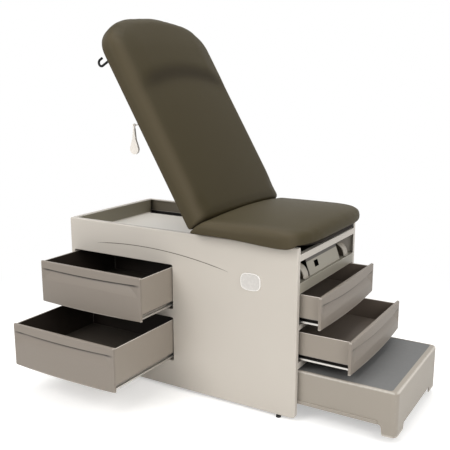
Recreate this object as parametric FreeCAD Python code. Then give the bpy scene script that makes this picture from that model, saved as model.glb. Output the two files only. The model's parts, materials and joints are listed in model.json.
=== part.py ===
import FreeCAD, Part
import math
import os
from FreeCAD import Vector

# Driving dimensions, in millimetres and degrees.
# X runs along the table from the head (-) to the foot (+), Y across it, Z up from the floor.

# Cabinet
cabinet_length = 1220.0
cabinet_width = 640.0
panel_top = 752.0
panel_bottom = 14.0
panel_depth = 22.0
sheet = 2.0
panel_edge_radius = 5.0
panel_corner_radius = 14.0
head_panel_depth = 20.0
partition_depth = 20.0
partition_gap = 6.5
partition_bottom = 40.0
well_depth = 75.0
deck_far_gap = 15.0
deck_flange = 20.0
pan_drop = 20.0

# Side-drawer openings in the near panel
opening_mid_gap = 4.5
opening_height = 210.0
opening_lower_bottom = 140.0
opening_pitch = 248.0
opening_radius = 8.0

# Foot-end frame and stirrup bay
bay_floor_top = 600.0
bay_depth = 456.0
bay_lip_height = 44.0
lip_radius = 1.8
cover_half_width = 165.0
cover_foot_setback = 14.0
cover_lean = 24.0
cover_height = 68.0
cover_flange = 18.0
socket_y = -78.0
socket_width = 36.0
socket_height = 27.0
socket_proud = 1.5
rail_depth = 14.0
mid_rail_bottom = 399.0
mid_rail_height = 20.0
lower_rail_bottom = 228.0
lower_rail_height = 28.0

# Drawers
drawer_wall = 3.0
drawer_front_depth = 11.0
bow_top = 4.0
bow_bottom = 12.0
drawer_lift = 32.0
drawer_radius = 10.0
front_edge_radius = 3.0
front_edge_steps = 3
side_gap = 5.0
side_gap_z = 8.0
side_drawer_depth = 520.0
side_rim_drop = 4.0
side_upper_out = 229.0
side_lower_out = 413.0
front_reveal = 10.0
front_drawer_height = 136.0
front_box_clearance = 13.0
front_drawer_depth = 500.0
front_lower_bottom = 260.0
front_upper_bottom = 422.0
front_rim_drop = 6.0
front_upper_out = 89.0
front_lower_out = 222.0
closed_gap = 0.5
side_lip_end = 32.0
side_lip_mid = 37.0
front_lip_end = 30.0
front_lip_mid = 44.0
scoop_depth = 6.5
scoop_margin = 16.0
scoop_run = 46.0
scoop_reach = 66.0
scoop_lead = 0.6

# Drawer slides: the moving rail hangs under the box edge, the runner is a ledge on the wall
rail_sheet = 2.0
rail_width = 14.0
rail_inset = 2.0
rail_foot_bottom = 8.0
rail_foot_height = 8.0
rail_foot_setback = 1.0
runner_height = 24.0
runner_upstand = 8.0
slide_gap = 0.3
slide_side_gap = 2.0
runner_start = 24.0

# Seat
pad_half_width = 388.0
board_half_width = 318.0
seat_board_depth = 12.0
seat_pad_height = 78.0
seat_foot_end = 690.0
seat_end_depth = 210.0
seat_end_power = 2.6
seat_end_round = 90.0
seat_board_inset = 40.0
seat_board_corner = 170.0

# Backrest
back_angle = 59.5
back_board_depth = 15.0
back_pad_height = 103.0
back_length = 1048.0
back_end_depth = 180.0
back_end_power = 2.2
back_end_round = 70.0
back_board_end_inset = 50.0
back_board_corner = 230.0
back_board_start = 16.0
pillow_rise = 4.0
pillow_valley = 8.0
pillow_station = 740.0
pillow_run = 60.0

# Pad sections: the sides are widest at this share of the height
pad_foot_inset = 13.0
pad_side_share = 0.4
pad_overlap = 62.0
pad_crown = 12.0

# Hinge between seat and backrest, and the fold where the pads meet
hinge_x = 119.0
hinge_rise = 5.0
hinge_y = 200.0
knuckle_radius = 6.0
pin_radius = 3.0
pin_clearance = 0.1
knuckle_length = 20.0
knuckle_gap = 0.4
leaf_thickness = 4.0
leaf_length = 50.0
board_rest_gap = 0.5
fold_slant = 48.0
fold_x = 111.0
fold_gap = 1.4
hinge_rail_width = 38.0
hinge_rail_height = 40.0
hinge_rail_gap = 8.0
seat_board_rear_gap = 14.0

# Gas spring under the seat, drawn out by a crank on the backrest
crank_radius = 85.0
crank_plate = 4.0
crank_plate_y = 9.0
crank_half_width = 7.0
crank_hub_radius = 8.0
crank_leg_length = 60.0
crank_leg_height = 9.0
crank_pin_radius = 5.0
crank_tip_radius = 10.0
crank_pin_overhang = 2.0
crank_notch = 17.0
spring_radius = 13.0
spring_start = 200.0
spring_length = 200.0
spring_end_wall = 8.0
spring_rod_radius = 5.0
spring_rod_inside = 100.0
spring_eye_half = 15.0
spring_eye_depth = 14.0
spring_slot_room = 1.4
spring_bracket_length = 26.0
spring_bracket_width = 40.0

# Leg extension
extension_front_height = 29.0
extension_front_bottom = 692.0
extension_front_depth = 20.0
extension_front_gap = 2.0
extension_pan_gap = 5.0
extension_pan_drop = 5.0
guide_lip = 30.0
guide_mouth = 4.0

# Stirrups
stirrup_y = 228.0
arm_size = 22.0
arm_wall = 2.0
arm_length = 380.0
arm_z = 641.0
sleeve_wall = 2.0
sleeve_gap = 0.3
sleeve_start = 200.0
sleeve_length = 270.0
sleeve_foot_length = 30.0
sleeve_foot_inset = 20.0
cup_width = 110.0
cup_radius = 58.0
cup_wall = 4.0
cup_web = 3.0
cup_lift = 6.0
cup_foot_setback = 7.0
cup_hole_radius = 8.0
cup_hole_place = 24.0
cup_toe = 5.0

# Step
step_side_gap = 8.0
step_height = 222.0
step_length = 484.0
step_out = 422.0
step_wall = 5.0
step_corner_radius = 26.0
step_top_radius = 8.0
step_leg_bottom = 30.0
step_side_bottom = 74.0
step_front_bottom = 58.0
step_leg_x = 64.0
step_leg_y = 100.0
step_leg_slant = 10.0
step_cut_radius = 14.0
step_bead_height = 16.0
step_bead_proud = 4.0
step_bead_radius = 2.4
tread_rim = 11.0
tread_front_rim = 26.0
tread_depth = 4.0
tread_drop = 1.0
tread_radius = 14.0
step_guide_length = 38.0
step_guide_height = 18.0
step_guide_bottom = 126.0
step_guide_reach = 22.0
step_guide_inset = 4.0
step_runner_sheet = 2.0

# Levelling feet
foot_x = 530.0
foot_radius = 11.0
foot_height = 8.0
foot_stem_radius = 5.0

# Paper-roll hooks and release pulls on the backrest
hook_wire = 5.5
hook_y = 306.0
hook_station = 866.0
hook_stem = 64.0
hook_bend = 15.0
hook_tip = 15.0
hook_plate = 3.0
hook_plate_half = 15.0
wire_radius = 3.0
wire_station = 532.0
wire_y = 337.0
wire_board_rise = 7.5
wire_bend = 3.5
wire_reach = 37.0
wire_sink = 5.0
wire_sides = 10
wire_turn_step = 18.0
pull_pin_half = 7.0
pull_eye_radius = 7.0
pull_eye_gap = 0.35
pull_neck_half = 3.5
pull_length = 128.0
pull_bulb_half = 21.0
pull_bulb_rise = 33.0
pull_swell_half = 13.7
pull_swell_rise = 20.5
pull_waist_half = 8.8
pull_thickness = 10.0
pull_neck_depth = 6.0

# Places worked out from the dimensions
half_length = cabinet_length / 2
half_width = cabinet_width / 2
inner_y = half_width - panel_depth
skin_y = half_width - sheet
head_inner_x = -half_length + head_panel_depth
opening_x0 = head_inner_x
opening_x1 = -opening_mid_gap
opening_length = opening_x1 - opening_x0
partition_x0 = opening_x1 + partition_gap
partition_x1 = partition_x0 + partition_depth
deck_top = panel_top - well_depth
side_front_width = opening_length - 2 * side_gap
side_front_height = opening_height - 2 * side_gap_z
side_centre_x = (opening_x0 + opening_x1) / 2
front_drawer_width = cabinet_width - 2 * front_reveal
front_box_width = 2 * (inner_y - front_box_clearance)
closed_front_x = half_length + closed_gap + drawer_front_depth
step_front_x = half_length + step_out
step_half = inner_y - step_side_gap
seat_bottom = panel_top + seat_board_depth
hinge_z = panel_top + hinge_rise
back_flat_bottom = panel_top + board_rest_gap
back_pad_bottom = back_flat_bottom + back_board_depth
crank_swing = back_angle / 2
crank_drop = crank_radius * math.cos(math.radians(crank_swing))
spring_z = hinge_z - (crank_radius + crank_drop) / 2
spring_eye_x = hinge_x - crank_radius * math.sin(math.radians(crank_swing))
slot_half = crank_pin_radius + spring_slot_room
slot_reach = (crank_radius - crank_drop) / 2 + slot_half
cup_axis_x = half_length - cup_foot_setback - cup_radius
origin = Vector(
    (step_front_x - half_length) / 2,
    (pad_half_width - half_width - side_lower_out - bow_bottom) / 2,
    0,
)
AXIS_X = Vector(1, 0, 0)
AXIS_Y = Vector(0, 1, 0)
AXIS_Z = Vector(0, 0, 1)
HINGE = Vector(hinge_x, 0, hinge_z)


def block(x0, x1, y0, y1, z0, z1):
    return Part.makeBox(x1 - x0, y1 - y0, z1 - z0, Vector(x0, y0, z0))


def prism(points, direction):
    wire = Part.makePolygon(list(points) + [points[0]])
    return Part.Face(wire).extrude(direction)


def prism_xz(points, y0, y1):
    corners = [Vector(x, y0, z) for x, z in points]
    return prism(corners, Vector(0, y1 - y0, 0))


def prism_yz(points, x0, x1):
    corners = [Vector(x0, y, z) for y, z in points]
    return prism(corners, Vector(x1 - x0, 0, 0))


def bar(start, end, radius):
    along = end - start
    return Part.makeCylinder(radius, along.Length, start, along)


def bent_rod(points, radius, bend):
    """Wire along straight runs, turned at each corner in short steps round an arc of the given radius."""
    path = [points[0]]
    for index in range(1, len(points) - 1):
        corner = points[index]
        arrive = (corner - points[index - 1]).normalize()
        leave = (points[index + 1] - corner).normalize()
        turn = math.degrees(arrive.getAngle(leave))
        half_turn = math.radians(turn / 2)
        inward = (leave - arrive).normalize()
        centre = corner + inward * (bend / math.cos(half_turn))
        spoke = corner - arrive * (bend * math.tan(half_turn)) - centre
        steps = math.ceil(turn / wire_turn_step)
        for step in range(steps + 1):
            point = centre + FreeCAD.Rotation(arrive.cross(leave), turn * step / steps).multVec(spoke)
            if (point - path[-1]).Length > pin_clearance:
                path.append(point)
    path.append(points[-1])
    along = (points[1] - points[0]).normalize()
    aside = AXIS_Y if abs(along.y) < 0.5 else AXIS_X
    corners = []
    for side in range(wire_sides + 1):
        spin = FreeCAD.Rotation(along, 360 * side / wire_sides)
        corners.append(points[0] + spin.multVec(aside * radius))
    return Part.makePolygon(path).makePipeShell([Part.makePolygon(corners)], True, False, 1)


def join(shapes):
    whole = shapes[0]
    for shape in shapes[1:]:
        whole = whole.fuse(shape)
    return whole.removeSplitter()


def group(shapes):
    return Part.makeCompound(shapes)


def mirrored(shape):
    return shape.mirror(Vector(0, 0, 0), AXIS_Y)


def pair(shape):
    return group([shape, mirrored(shape)])


def rounded_outline(a0, a1, b0, b1, radii, place):
    """Closed outline of a rectangle with one radius for each corner, low-low corner first, turning left."""
    corners = [(a0, b0), (a1, b0), (a1, b1), (a0, b1)]
    steps = [(1, 0), (0, 1), (-1, 0), (0, -1)]
    edges = []
    last = None
    first = None
    for index, (a, b) in enumerate(corners):
        radius = radii[index]
        arrive = steps[index - 1]
        leave = steps[index]
        start = place(a - arrive[0] * radius, b - arrive[1] * radius)
        end = place(a + leave[0] * radius, b + leave[1] * radius)
        bulge = radius * (1 - math.sqrt(0.5))
        middle = place(a + (leave[0] - arrive[0]) * bulge, b + (leave[1] - arrive[1]) * bulge)
        if last is not None:
            edges.append(Part.LineSegment(last, start).toShape())
        else:
            first = start
        if radius > 0:
            edges.append(Part.Arc(start, middle, end).toShape())
        last = end
    edges.append(Part.LineSegment(last, first).toShape())
    return Part.Wire(edges)


def rounded_xz(x0, x1, z0, z1, radii, y0, y1):
    wire = rounded_outline(x0, x1, z0, z1, radii, lambda a, b: Vector(a, y0, b))
    return Part.Face(wire).extrude(Vector(0, y1 - y0, 0))


def rounded_xy(x0, x1, y0, y1, radii, z0, z1):
    wire = rounded_outline(x0, x1, y0, y1, radii, lambda a, b: Vector(a, b, z0))
    return Part.Face(wire).extrude(Vector(0, 0, z1 - z0))


def edges_where(shape, test):
    return [edge for edge in shape.Edges if all(test(vertex.Point) for vertex in edge.Vertexes)]


def raised(shape):
    """Turns a piece of the backrest from the flat position to its raised angle."""
    turned = shape.copy()
    turned.rotate(HINGE, AXIS_Y, back_angle)
    return turned


# Cabinet panels

def side_panel(openings):
    """Sheet skin on the near side with flanges folded in round its edge and round each opening."""
    rounds = (panel_corner_radius, panel_corner_radius, panel_edge_radius, panel_edge_radius)
    outer = rounded_xz(-half_length, half_length, panel_bottom, panel_top, rounds, -half_width, -inner_y)
    rim = edges_where(outer, lambda p: abs(p.y + half_width) < 0.01)
    outer = outer.makeFillet(panel_edge_radius, rim)
    inside = tuple(radius - sheet for radius in rounds)
    pocket = rounded_xz(-half_length + sheet, half_length - sheet, panel_bottom + sheet, panel_top - sheet,
                        inside, -skin_y, -inner_y)
    for bottom in openings:
        frame = rounded_xz(opening_x0 - sheet, opening_x1 + sheet, bottom - sheet,
                           bottom + opening_height + sheet, (opening_radius + sheet,) * 4, -skin_y, -inner_y)
        pocket = pocket.cut(frame)
    panel = outer.cut(pocket)
    for bottom in openings:
        hole = rounded_xz(opening_x0, opening_x1, bottom, bottom + opening_height,
                          (opening_radius,) * 4, -half_width, -inner_y)
        panel = panel.cut(hole)
    return panel


def head_end_panel():
    outer = block(-half_length, head_inner_x, -inner_y, inner_y, panel_bottom, panel_top)
    inside = block(-half_length + sheet, head_inner_x - sheet, -inner_y + sheet, inner_y - sheet,
                   panel_bottom, panel_top - sheet)
    return outer.cut(inside)


def top_deck():
    far = inner_y - deck_far_gap
    floor = block(head_inner_x, partition_x1, -inner_y, far, deck_top - sheet, deck_top)
    upstand = block(head_inner_x, head_inner_x + sheet, -inner_y, inner_y,
                    deck_top - sheet, panel_top - sheet)
    near_edge = block(head_inner_x, partition_x0, -inner_y, -inner_y + sheet,
                      deck_top - deck_flange, deck_top)
    far_edge = block(head_inner_x, partition_x0, far - sheet, far, deck_top - deck_flange, deck_top)
    return join([floor, upstand, near_edge, far_edge])


def mid_partition():
    outer = block(partition_x0, partition_x1, -skin_y, skin_y, partition_bottom, deck_top - sheet)
    inside = block(partition_x0 + sheet, partition_x1 - sheet, -skin_y + sheet, skin_y - sheet,
                   partition_bottom, deck_top - 2 * sheet)
    return outer.cut(inside)


def base_pan():
    top = opening_lower_bottom - pan_drop
    floor = block(head_inner_x, partition_x0, -skin_y, skin_y, top - sheet, top)
    near_edge = block(head_inner_x, partition_x0, -inner_y, -inner_y + sheet, top - deck_flange, top)
    return join([floor, near_edge, mirrored(near_edge)])


def hinge_rail():
    x0 = hinge_x + hinge_rail_gap
    x1 = x0 + hinge_rail_width
    z0 = panel_top - hinge_rail_height
    outer = block(x0, x1, -inner_y, inner_y, z0, panel_top)
    channel = block(x0 + sheet, x1, -inner_y, inner_y, z0 + sheet, panel_top - sheet)
    notch = block(x0, x1 - crank_half_width, -crank_notch, crank_notch, z0, panel_top)
    return outer.cut(channel).cut(notch)


def cross_rail(bottom, height):
    """Foot-end rail, a channel open to the back, with ends that reach the panel skins."""
    front = half_length - sheet
    outer = block(front - rail_depth, front, -skin_y, skin_y, bottom, bottom + height)
    channel = block(front - rail_depth, front - sheet, -skin_y, skin_y,
                    bottom + sheet, bottom + height - sheet)
    return outer.cut(channel)


def stirrup_bay_tray():
    back = half_length - bay_depth
    front = half_length - sheet
    floor = block(back, front, -skin_y, skin_y, bay_floor_top - sheet, bay_floor_top)
    lip_floor = block(front, half_length, -inner_y, inner_y, bay_floor_top - sheet, bay_floor_top)
    lip = block(half_length - sheet, half_length, -inner_y, inner_y,
                bay_floor_top - bay_lip_height, bay_floor_top)
    edge = edges_where(lip, lambda p: p.x > half_length - 0.01 and p.z > bay_floor_top - 0.01)
    return join([floor, lip_floor, lip.makeFillet(lip_radius, edge)])


def bay_cover_plate():
    foot_x0 = half_length - cover_foot_setback
    top_x = foot_x0 - cover_lean
    top_z = bay_floor_top + cover_height
    outline = [
        (foot_x0, bay_floor_top),
        (top_x, top_z),
        (top_x - cover_flange, top_z),
        (top_x - cover_flange, top_z - sheet),
        (top_x - sheet, top_z - sheet),
        (foot_x0 - sheet, bay_floor_top),
    ]
    return prism_xz(outline, -cover_half_width, cover_half_width)


def bay_socket_blank():
    foot_x0 = half_length - cover_foot_setback
    lean = math.degrees(math.atan2(cover_lean, cover_height))
    middle = Vector(foot_x0 - cover_lean / 2, socket_y, bay_floor_top + cover_height / 2)
    plate = block(0, socket_proud, -socket_width / 2, socket_width / 2, -socket_height / 2, socket_height / 2)
    plate.rotate(Vector(0, 0, 0), AXIS_Y, -lean)
    plate.translate(middle)
    return plate


def levelling_feet():
    feet = []
    y = (half_width + inner_y) / 2
    for side_x in (-1, 1):
        for side_y in (-1, 1):
            place = Vector(side_x * foot_x, side_y * y, 0)
            pad = Part.makeCylinder(foot_radius, foot_height, place)
            stem_base = place + AXIS_Z * foot_height
            stem = Part.makeCylinder(foot_stem_radius, panel_bottom - foot_height, stem_base)
            feet.append(pad.fuse(stem).removeSplitter())
    return group(feet)


# Drawers, drawn with the front plane at y = 0 facing -Y and the bottom of the front at z = 0

def bowed_outline(width, bow, z, setback):
    """Plan of a drawer front: straight back and ends, rounded corners and a face that bows out to the front."""
    half = width / 2
    inner = half - front_edge_radius
    nick = front_edge_radius * (1 - math.sqrt(0.5))

    def at(x, y):
        return Vector(x, y + setback, z)

    left_back = Vector(-half, drawer_front_depth, z)
    right_back = Vector(half, drawer_front_depth, z)
    return Part.Wire([
        Part.Arc(at(-inner, 0), at(0, -bow), at(inner, 0)).toShape(),
        Part.Arc(at(inner, 0), at(half - nick, nick), at(half, front_edge_radius)).toShape(),
        Part.LineSegment(at(half, front_edge_radius), right_back).toShape(),
        Part.LineSegment(right_back, left_back).toShape(),
        Part.LineSegment(left_back, at(-half, front_edge_radius)).toShape(),
        Part.Arc(at(-half, front_edge_radius), at(nick - half, nick), at(-inner, 0)).toShape(),
    ])


def bowed_front(width, height):
    """Drawer front as a loft of its plans, which draw back where the lower and upper edges round off."""
    levels = []
    for step in range(front_edge_steps + 1):
        turn = math.pi / 2 * step / front_edge_steps
        levels.append((front_edge_radius * (1 - math.cos(turn)), front_edge_radius * (1 - math.sin(turn))))
    levels += [(height - rise, setback) for rise, setback in reversed(levels)]
    sections = []
    for z, setback in levels:
        bow = bow_bottom + (bow_top - bow_bottom) * z / height
        sections.append(bowed_outline(width, bow, z, setback))
    return Part.makeLoft(sections, True, True)


def finger_scoop(width, height, lip_end, lip_mid):
    """Hollow that sinks in below the lip, following the bow of the face and running out towards both ends."""
    half = width / 2
    lip_z = height - lip_mid
    low_z = lip_z - scoop_reach
    bow = bow_bottom + (bow_top - bow_bottom) * low_z / height
    chord = half - front_edge_radius
    swing = (chord ** 2 + bow ** 2) / (2 * bow)
    front_y = -bow - scoop_lead
    total = scoop_depth - front_y
    sweep = (total ** 2 + scoop_reach ** 2) / (2 * total)
    half_turn = math.asin(scoop_reach / sweep) / 2
    outside = -3 * bow_bottom

    def at(y, z):
        return Vector(0, y, z)

    low = at(front_y, low_z)
    middle = at(front_y + sweep - sweep * math.cos(half_turn), low_z + sweep * math.sin(half_turn))
    deep = at(scoop_depth, lip_z)
    top = at(scoop_depth, height)
    profile = Part.Wire([
        Part.Arc(low, middle, deep).toShape(),
        Part.LineSegment(deep, top).toShape(),
        Part.LineSegment(top, at(outside, height)).toShape(),
        Part.LineSegment(at(outside, height), at(outside, low_z)).toShape(),
        Part.LineSegment(at(outside, low_z), low).toShape(),
    ])
    turn = 2 * math.degrees(math.asin(half / swing))
    axis = Vector(0, swing - bow, 0)
    face = Part.Face(profile)
    face.rotate(axis, AXIS_Z, -turn / 2)
    hollow = face.revolve(axis, AXIS_Z, turn)
    left = Vector(-half, outside, height - lip_end)
    right = Vector(half, outside, height - lip_end)
    low_left = Vector(-half, outside, 0)
    low_right = Vector(half, outside, 0)
    below = Part.Wire([
        Part.Arc(left, Vector(0, outside, lip_z), right).toShape(),
        Part.LineSegment(right, low_right).toShape(),
        Part.LineSegment(low_right, low_left).toShape(),
        Part.LineSegment(low_left, left).toShape(),
    ])
    span = half - scoop_margin
    ends = [
        Vector(-span, outside, 0),
        Vector(span, outside, 0),
        Vector(span, 0, 0),
        Vector(span - scoop_run, scoop_depth + scoop_lead, 0),
        Vector(scoop_run - span, scoop_depth + scoop_lead, 0),
        Vector(-span, 0, 0),
    ]
    hollow = hollow.common(Part.Face(below).extrude(AXIS_Y * width))
    return hollow.common(prism(ends, AXIS_Z * height))


def drawer(front_width, front_height, box_width, depth, rim_drop, lip_end, lip_mid):
    front = bowed_front(front_width, front_height)
    front = front.cut(finger_scoop(front_width, front_height, lip_end, lip_mid))
    half = box_width / 2
    top = front_height - rim_drop
    rounds = (0, 0, drawer_radius, drawer_radius)
    box = rounded_xy(-half, half, drawer_front_depth, depth, rounds, drawer_lift, top)
    inner = drawer_radius - drawer_wall
    space = rounded_xy(-half + drawer_wall, half - drawer_wall, drawer_front_depth, depth - drawer_wall,
                       (inner,) * 4, drawer_lift + drawer_wall, top)
    return front.fuse(box.cut(space)).removeSplitter()


def drawer_rails(box_width, depth):
    """Pair of moving slide rails under the long edges of the box."""
    out = box_width / 2 - rail_inset
    back = out - rail_width
    foot_top = rail_foot_bottom + rail_foot_height
    outline = [
        (back, rail_foot_bottom),
        (out - rail_foot_setback, rail_foot_bottom),
        (out - rail_foot_setback, foot_top),
        (back + rail_sheet, foot_top),
        (back + rail_sheet, drawer_lift - rail_sheet),
        (out, drawer_lift - rail_sheet),
        (out, drawer_lift),
        (back, drawer_lift),
    ]
    end = depth - drawer_front_depth
    shapes = []
    for side in (-1, 1):
        corners = [Vector(side * x, drawer_front_depth, z) for x, z in outline]
        shapes.append(prism(corners, Vector(0, end - drawer_front_depth, 0)))
    return group(shapes)


def drawer_runner(box_width, wall, start, end):
    """Fixed ledge from the wall to just past the foot of the moving rail."""
    side = 1 if wall > 0 else -1
    reach = abs(wall)
    back = box_width / 2 - rail_inset - rail_width - slide_side_gap
    ledge_top = rail_foot_bottom - slide_gap
    ledge = ledge_top - rail_sheet
    outline = [
        (back - rail_sheet, ledge),
        (reach, ledge),
        (reach, ledge + runner_height),
        (reach - rail_sheet, ledge + runner_height),
        (reach - rail_sheet, ledge_top),
        (back, ledge_top),
        (back, ledge_top + runner_upstand),
        (back - rail_sheet, ledge_top + runner_upstand),
    ]
    corners = [Vector(side * x, start, z) for x, z in outline]
    return prism(corners, Vector(0, end - start, 0))


def at_side(shape, bottom, out):
    """Places a drawer piece in the near side panel, drawn out by the given length."""
    placed = shape.copy()
    placed.translate(Vector(side_centre_x, -half_width - out, bottom))
    return placed


def at_foot(shape, bottom, out):
    """Places a drawer piece in the foot end, drawn out by the given length."""
    placed = shape.copy()
    placed.rotate(Vector(0, 0, 0), AXIS_Z, 90)
    placed.translate(Vector(closed_front_x + out, 0, bottom))
    return placed


side_bottoms = (opening_lower_bottom + side_gap_z, opening_lower_bottom + opening_pitch + side_gap_z)
front_bottoms = (front_lower_bottom, front_upper_bottom)


def side_drawer_runners():
    shapes = []
    for bottom in side_bottoms:
        for wall in (head_inner_x - side_centre_x, partition_x0 - side_centre_x):
            runner = drawer_runner(side_front_width, wall, runner_start, side_drawer_depth)
            shapes.append(at_side(runner, bottom, 0))
    return group(shapes)


def front_drawer_runners():
    shapes = []
    for bottom in front_bottoms:
        for wall in (-skin_y, skin_y):
            runner = drawer_runner(front_box_width, wall, runner_start, front_drawer_depth)
            shapes.append(at_foot(runner, bottom, 0))
    return group(shapes)


# Upholstery

def pad_section(x, half, bottom, top, crown):
    """Cross-section of a pad: flat base, drawn-in lower sides, quarter-round shoulders and a crowned top."""
    height = top - bottom
    side_z = bottom + height * pad_side_share
    drop = side_z - bottom
    inset = min(pad_foot_inset, drop)
    base = half - inset
    sweep = (inset ** 2 + drop ** 2) / (2 * inset)
    half_turn = math.asin(min(1.0, drop / sweep)) / 2
    low_y = half - sweep + sweep * math.cos(half_turn)
    low_z = side_z - sweep * math.sin(half_turn)
    shoulder_z = top - min(crown, height / 4)
    shoulder = half - (shoulder_z - side_z)
    high_y = shoulder + (half - shoulder) * math.sqrt(0.5)
    high_z = side_z + (shoulder_z - side_z) * math.sqrt(0.5)

    def at(y, z):
        return Vector(x, y, z)

    edges = [
        Part.LineSegment(at(-base, bottom), at(base, bottom)).toShape(),
        Part.Arc(at(base, bottom), at(low_y, low_z), at(half, side_z)).toShape(),
        Part.Arc(at(half, side_z), at(high_y, high_z), at(shoulder, shoulder_z)).toShape(),
        Part.Arc(at(shoulder, shoulder_z), at(0, top), at(-shoulder, shoulder_z)).toShape(),
        Part.Arc(at(-shoulder, shoulder_z), at(-high_y, high_z), at(-half, side_z)).toShape(),
        Part.Arc(at(-half, side_z), at(-low_y, low_z), at(-base, bottom)).toShape(),
    ]
    return Part.Wire(edges)


def end_sections(end, way, depth, power, rounding, bottom, top):
    """Sections round a pad's free end, an arch across the whole width whose upper edge is rounded off."""
    sections = []
    side_z = bottom + (top - bottom) * pad_side_share
    for angle in (0, 17, 33, 48, 61, 72, 80, 85):
        turn = math.radians(angle)
        along = depth - depth * math.sin(turn) ** (2 / power)
        half = pad_half_width * math.cos(turn) ** (2 / power)
        near_end = max(0.0, 1 - along / rounding)
        swell = math.sqrt(1 - near_end ** 2)
        near_foot = max(0.0, 1 - along / pad_foot_inset)
        lift = math.sqrt(1 - near_foot ** 2)
        low = side_z - (side_z - bottom) * lift
        high = side_z + (top - side_z) * swell
        sections.append(pad_section(end - way * along, half, low, high, pad_crown * swell))
    return sections


def fold_half_space(keep_seat):
    """Large block on one side of the plane where the two pads meet when the backrest is up."""
    size = 2 * back_length
    side = -1 if keep_seat else 1
    low = -size if keep_seat else 0
    tool = block(-size, size, -size, size, low, low + size)
    tool.translate(Vector(0, 0, side * fold_gap / 2))
    tool.rotate(Vector(0, 0, 0), AXIS_Y, fold_slant - 90)
    tool.translate(Vector(fold_x, 0, seat_bottom))
    return tool


def seat_pad():
    top = seat_bottom + seat_pad_height
    sections = [pad_section(fold_x - pad_overlap, pad_half_width, seat_bottom, top, pad_crown)]
    sections += end_sections(seat_foot_end, 1, seat_end_depth, seat_end_power, seat_end_round,
                             seat_bottom, top)
    whole = Part.makeLoft(sections, True, True)
    return whole.common(fold_half_space(True))


def back_pad_flat():
    bottom = back_pad_bottom
    top = bottom + back_pad_height
    end = hinge_x - back_length
    valley = pillow_station
    swells = [
        (-pad_overlap, 0),
        (valley - pillow_run, 0),
        (valley, -pillow_valley),
        (valley + pillow_run, pillow_rise),
    ]
    sections = []
    for station, swell in swells:
        crown = pad_crown + swell
        sections.append(pad_section(hinge_x - station, pad_half_width, bottom, top + swell, crown))
    sections += end_sections(end, -1, back_end_depth, back_end_power, back_end_round, bottom, top)
    return Part.makeLoft(sections, True, True)


def back_pad():
    return raised(back_pad_flat()).common(fold_half_space(False))


def seat_board():
    rounds = (0, seat_board_corner, seat_board_corner, 0)
    return rounded_xy(hinge_x + seat_board_rear_gap, seat_foot_end - seat_board_inset,
                      -board_half_width, board_half_width, rounds, panel_top, seat_bottom)


def back_board():
    board = rounded_xy(hinge_x - back_length + back_board_end_inset, hinge_x - back_board_start,
                       -board_half_width, board_half_width, (back_board_corner, 0, 0, back_board_corner),
                       back_flat_bottom, back_pad_bottom)
    return raised(board)


# Hinges

def knuckle(y0, y1):
    outer = Part.makeCylinder(knuckle_radius, y1 - y0, Vector(hinge_x, y0, hinge_z), AXIS_Y)
    bore = Part.makeCylinder(pin_radius + pin_clearance, y1 - y0, Vector(hinge_x, y0, hinge_z), AXIS_Y)
    return outer, bore


def seat_hinge_leaf(y):
    half = knuckle_length / 2
    rail_face = hinge_x + hinge_rail_gap
    plate = block(rail_face - leaf_thickness, rail_face, y - 3 * half, y + 3 * half,
                  hinge_z - leaf_length, hinge_z + leaf_thickness / 2)
    clear = half + knuckle_gap
    gap = block(hinge_x - knuckle_radius, rail_face, y - clear, y + clear,
                hinge_z - 2 * knuckle_radius, hinge_z + knuckle_radius)
    leaf = plate.cut(gap)
    for low, high in ((y - 3 * half, y - clear), (y + clear, y + 3 * half)):
        outer, bore = knuckle(low, high)
        leaf = leaf.fuse(outer).cut(bore)
    return leaf.removeSplitter()


def back_hinge_leaf(y):
    half = knuckle_length / 2
    outer, bore = knuckle(y - half, y + half)
    plate = block(hinge_x - leaf_length, hinge_x, y - half, y + half,
                  back_flat_bottom - leaf_thickness, back_flat_bottom)
    return raised(outer.fuse(plate).cut(bore).removeSplitter())


def hinge_pin(y):
    reach = 1.5 * knuckle_length
    return Part.makeCylinder(pin_radius, 2 * reach, Vector(hinge_x, y - reach, hinge_z), AXIS_Y)


# Gas spring

def crank_end(swing):
    turn = math.radians(swing)
    return Vector(hinge_x + crank_radius * math.sin(turn), 0, hinge_z - crank_radius * math.cos(turn))


def spring_crank():
    """Two plates under the backrest with a cross pin that works in the eye of the spring rod."""
    end = crank_end(crank_swing)
    plates = []
    for side in (-1, 1):
        y0 = min(side * crank_plate_y, side * (crank_plate_y + crank_plate))
        shift = Vector(0, y0, 0)
        hub = Part.makeCylinder(crank_hub_radius, crank_plate, HINGE + shift, AXIS_Y)
        tip = Part.makeCylinder(crank_tip_radius, crank_plate, end + shift, AXIS_Y)
        arm = block(-crank_half_width, crank_half_width, y0, y0 + crank_plate, -crank_radius, 0)
        arm.rotate(Vector(0, 0, 0), AXIS_Y, -crank_swing)
        arm.translate(HINGE)
        leg = block(hinge_x - crank_leg_length, hinge_x, y0, y0 + crank_plate,
                    back_flat_bottom - crank_leg_height, back_flat_bottom)
        above = block(hinge_x - back_board_start, hinge_x + crank_radius, y0, y0 + crank_plate,
                      back_flat_bottom, back_pad_bottom)
        plates.append(join([hub.cut(above), arm.cut(above), tip, leg]))
    reach = crank_plate_y + crank_plate + crank_pin_overhang
    pin = bar(end - AXIS_Y * reach, end + AXIS_Y * reach, crank_pin_radius)
    return raised(join(plates + [pin]))


def gas_spring_cylinder():
    start = Vector(spring_start, 0, spring_z)
    end = start + AXIS_X * spring_length
    body = bar(start, end, spring_radius)
    bore = bar(start, end - AXIS_X * spring_end_wall, spring_rod_radius + pin_clearance)
    return body.cut(bore)


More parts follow.
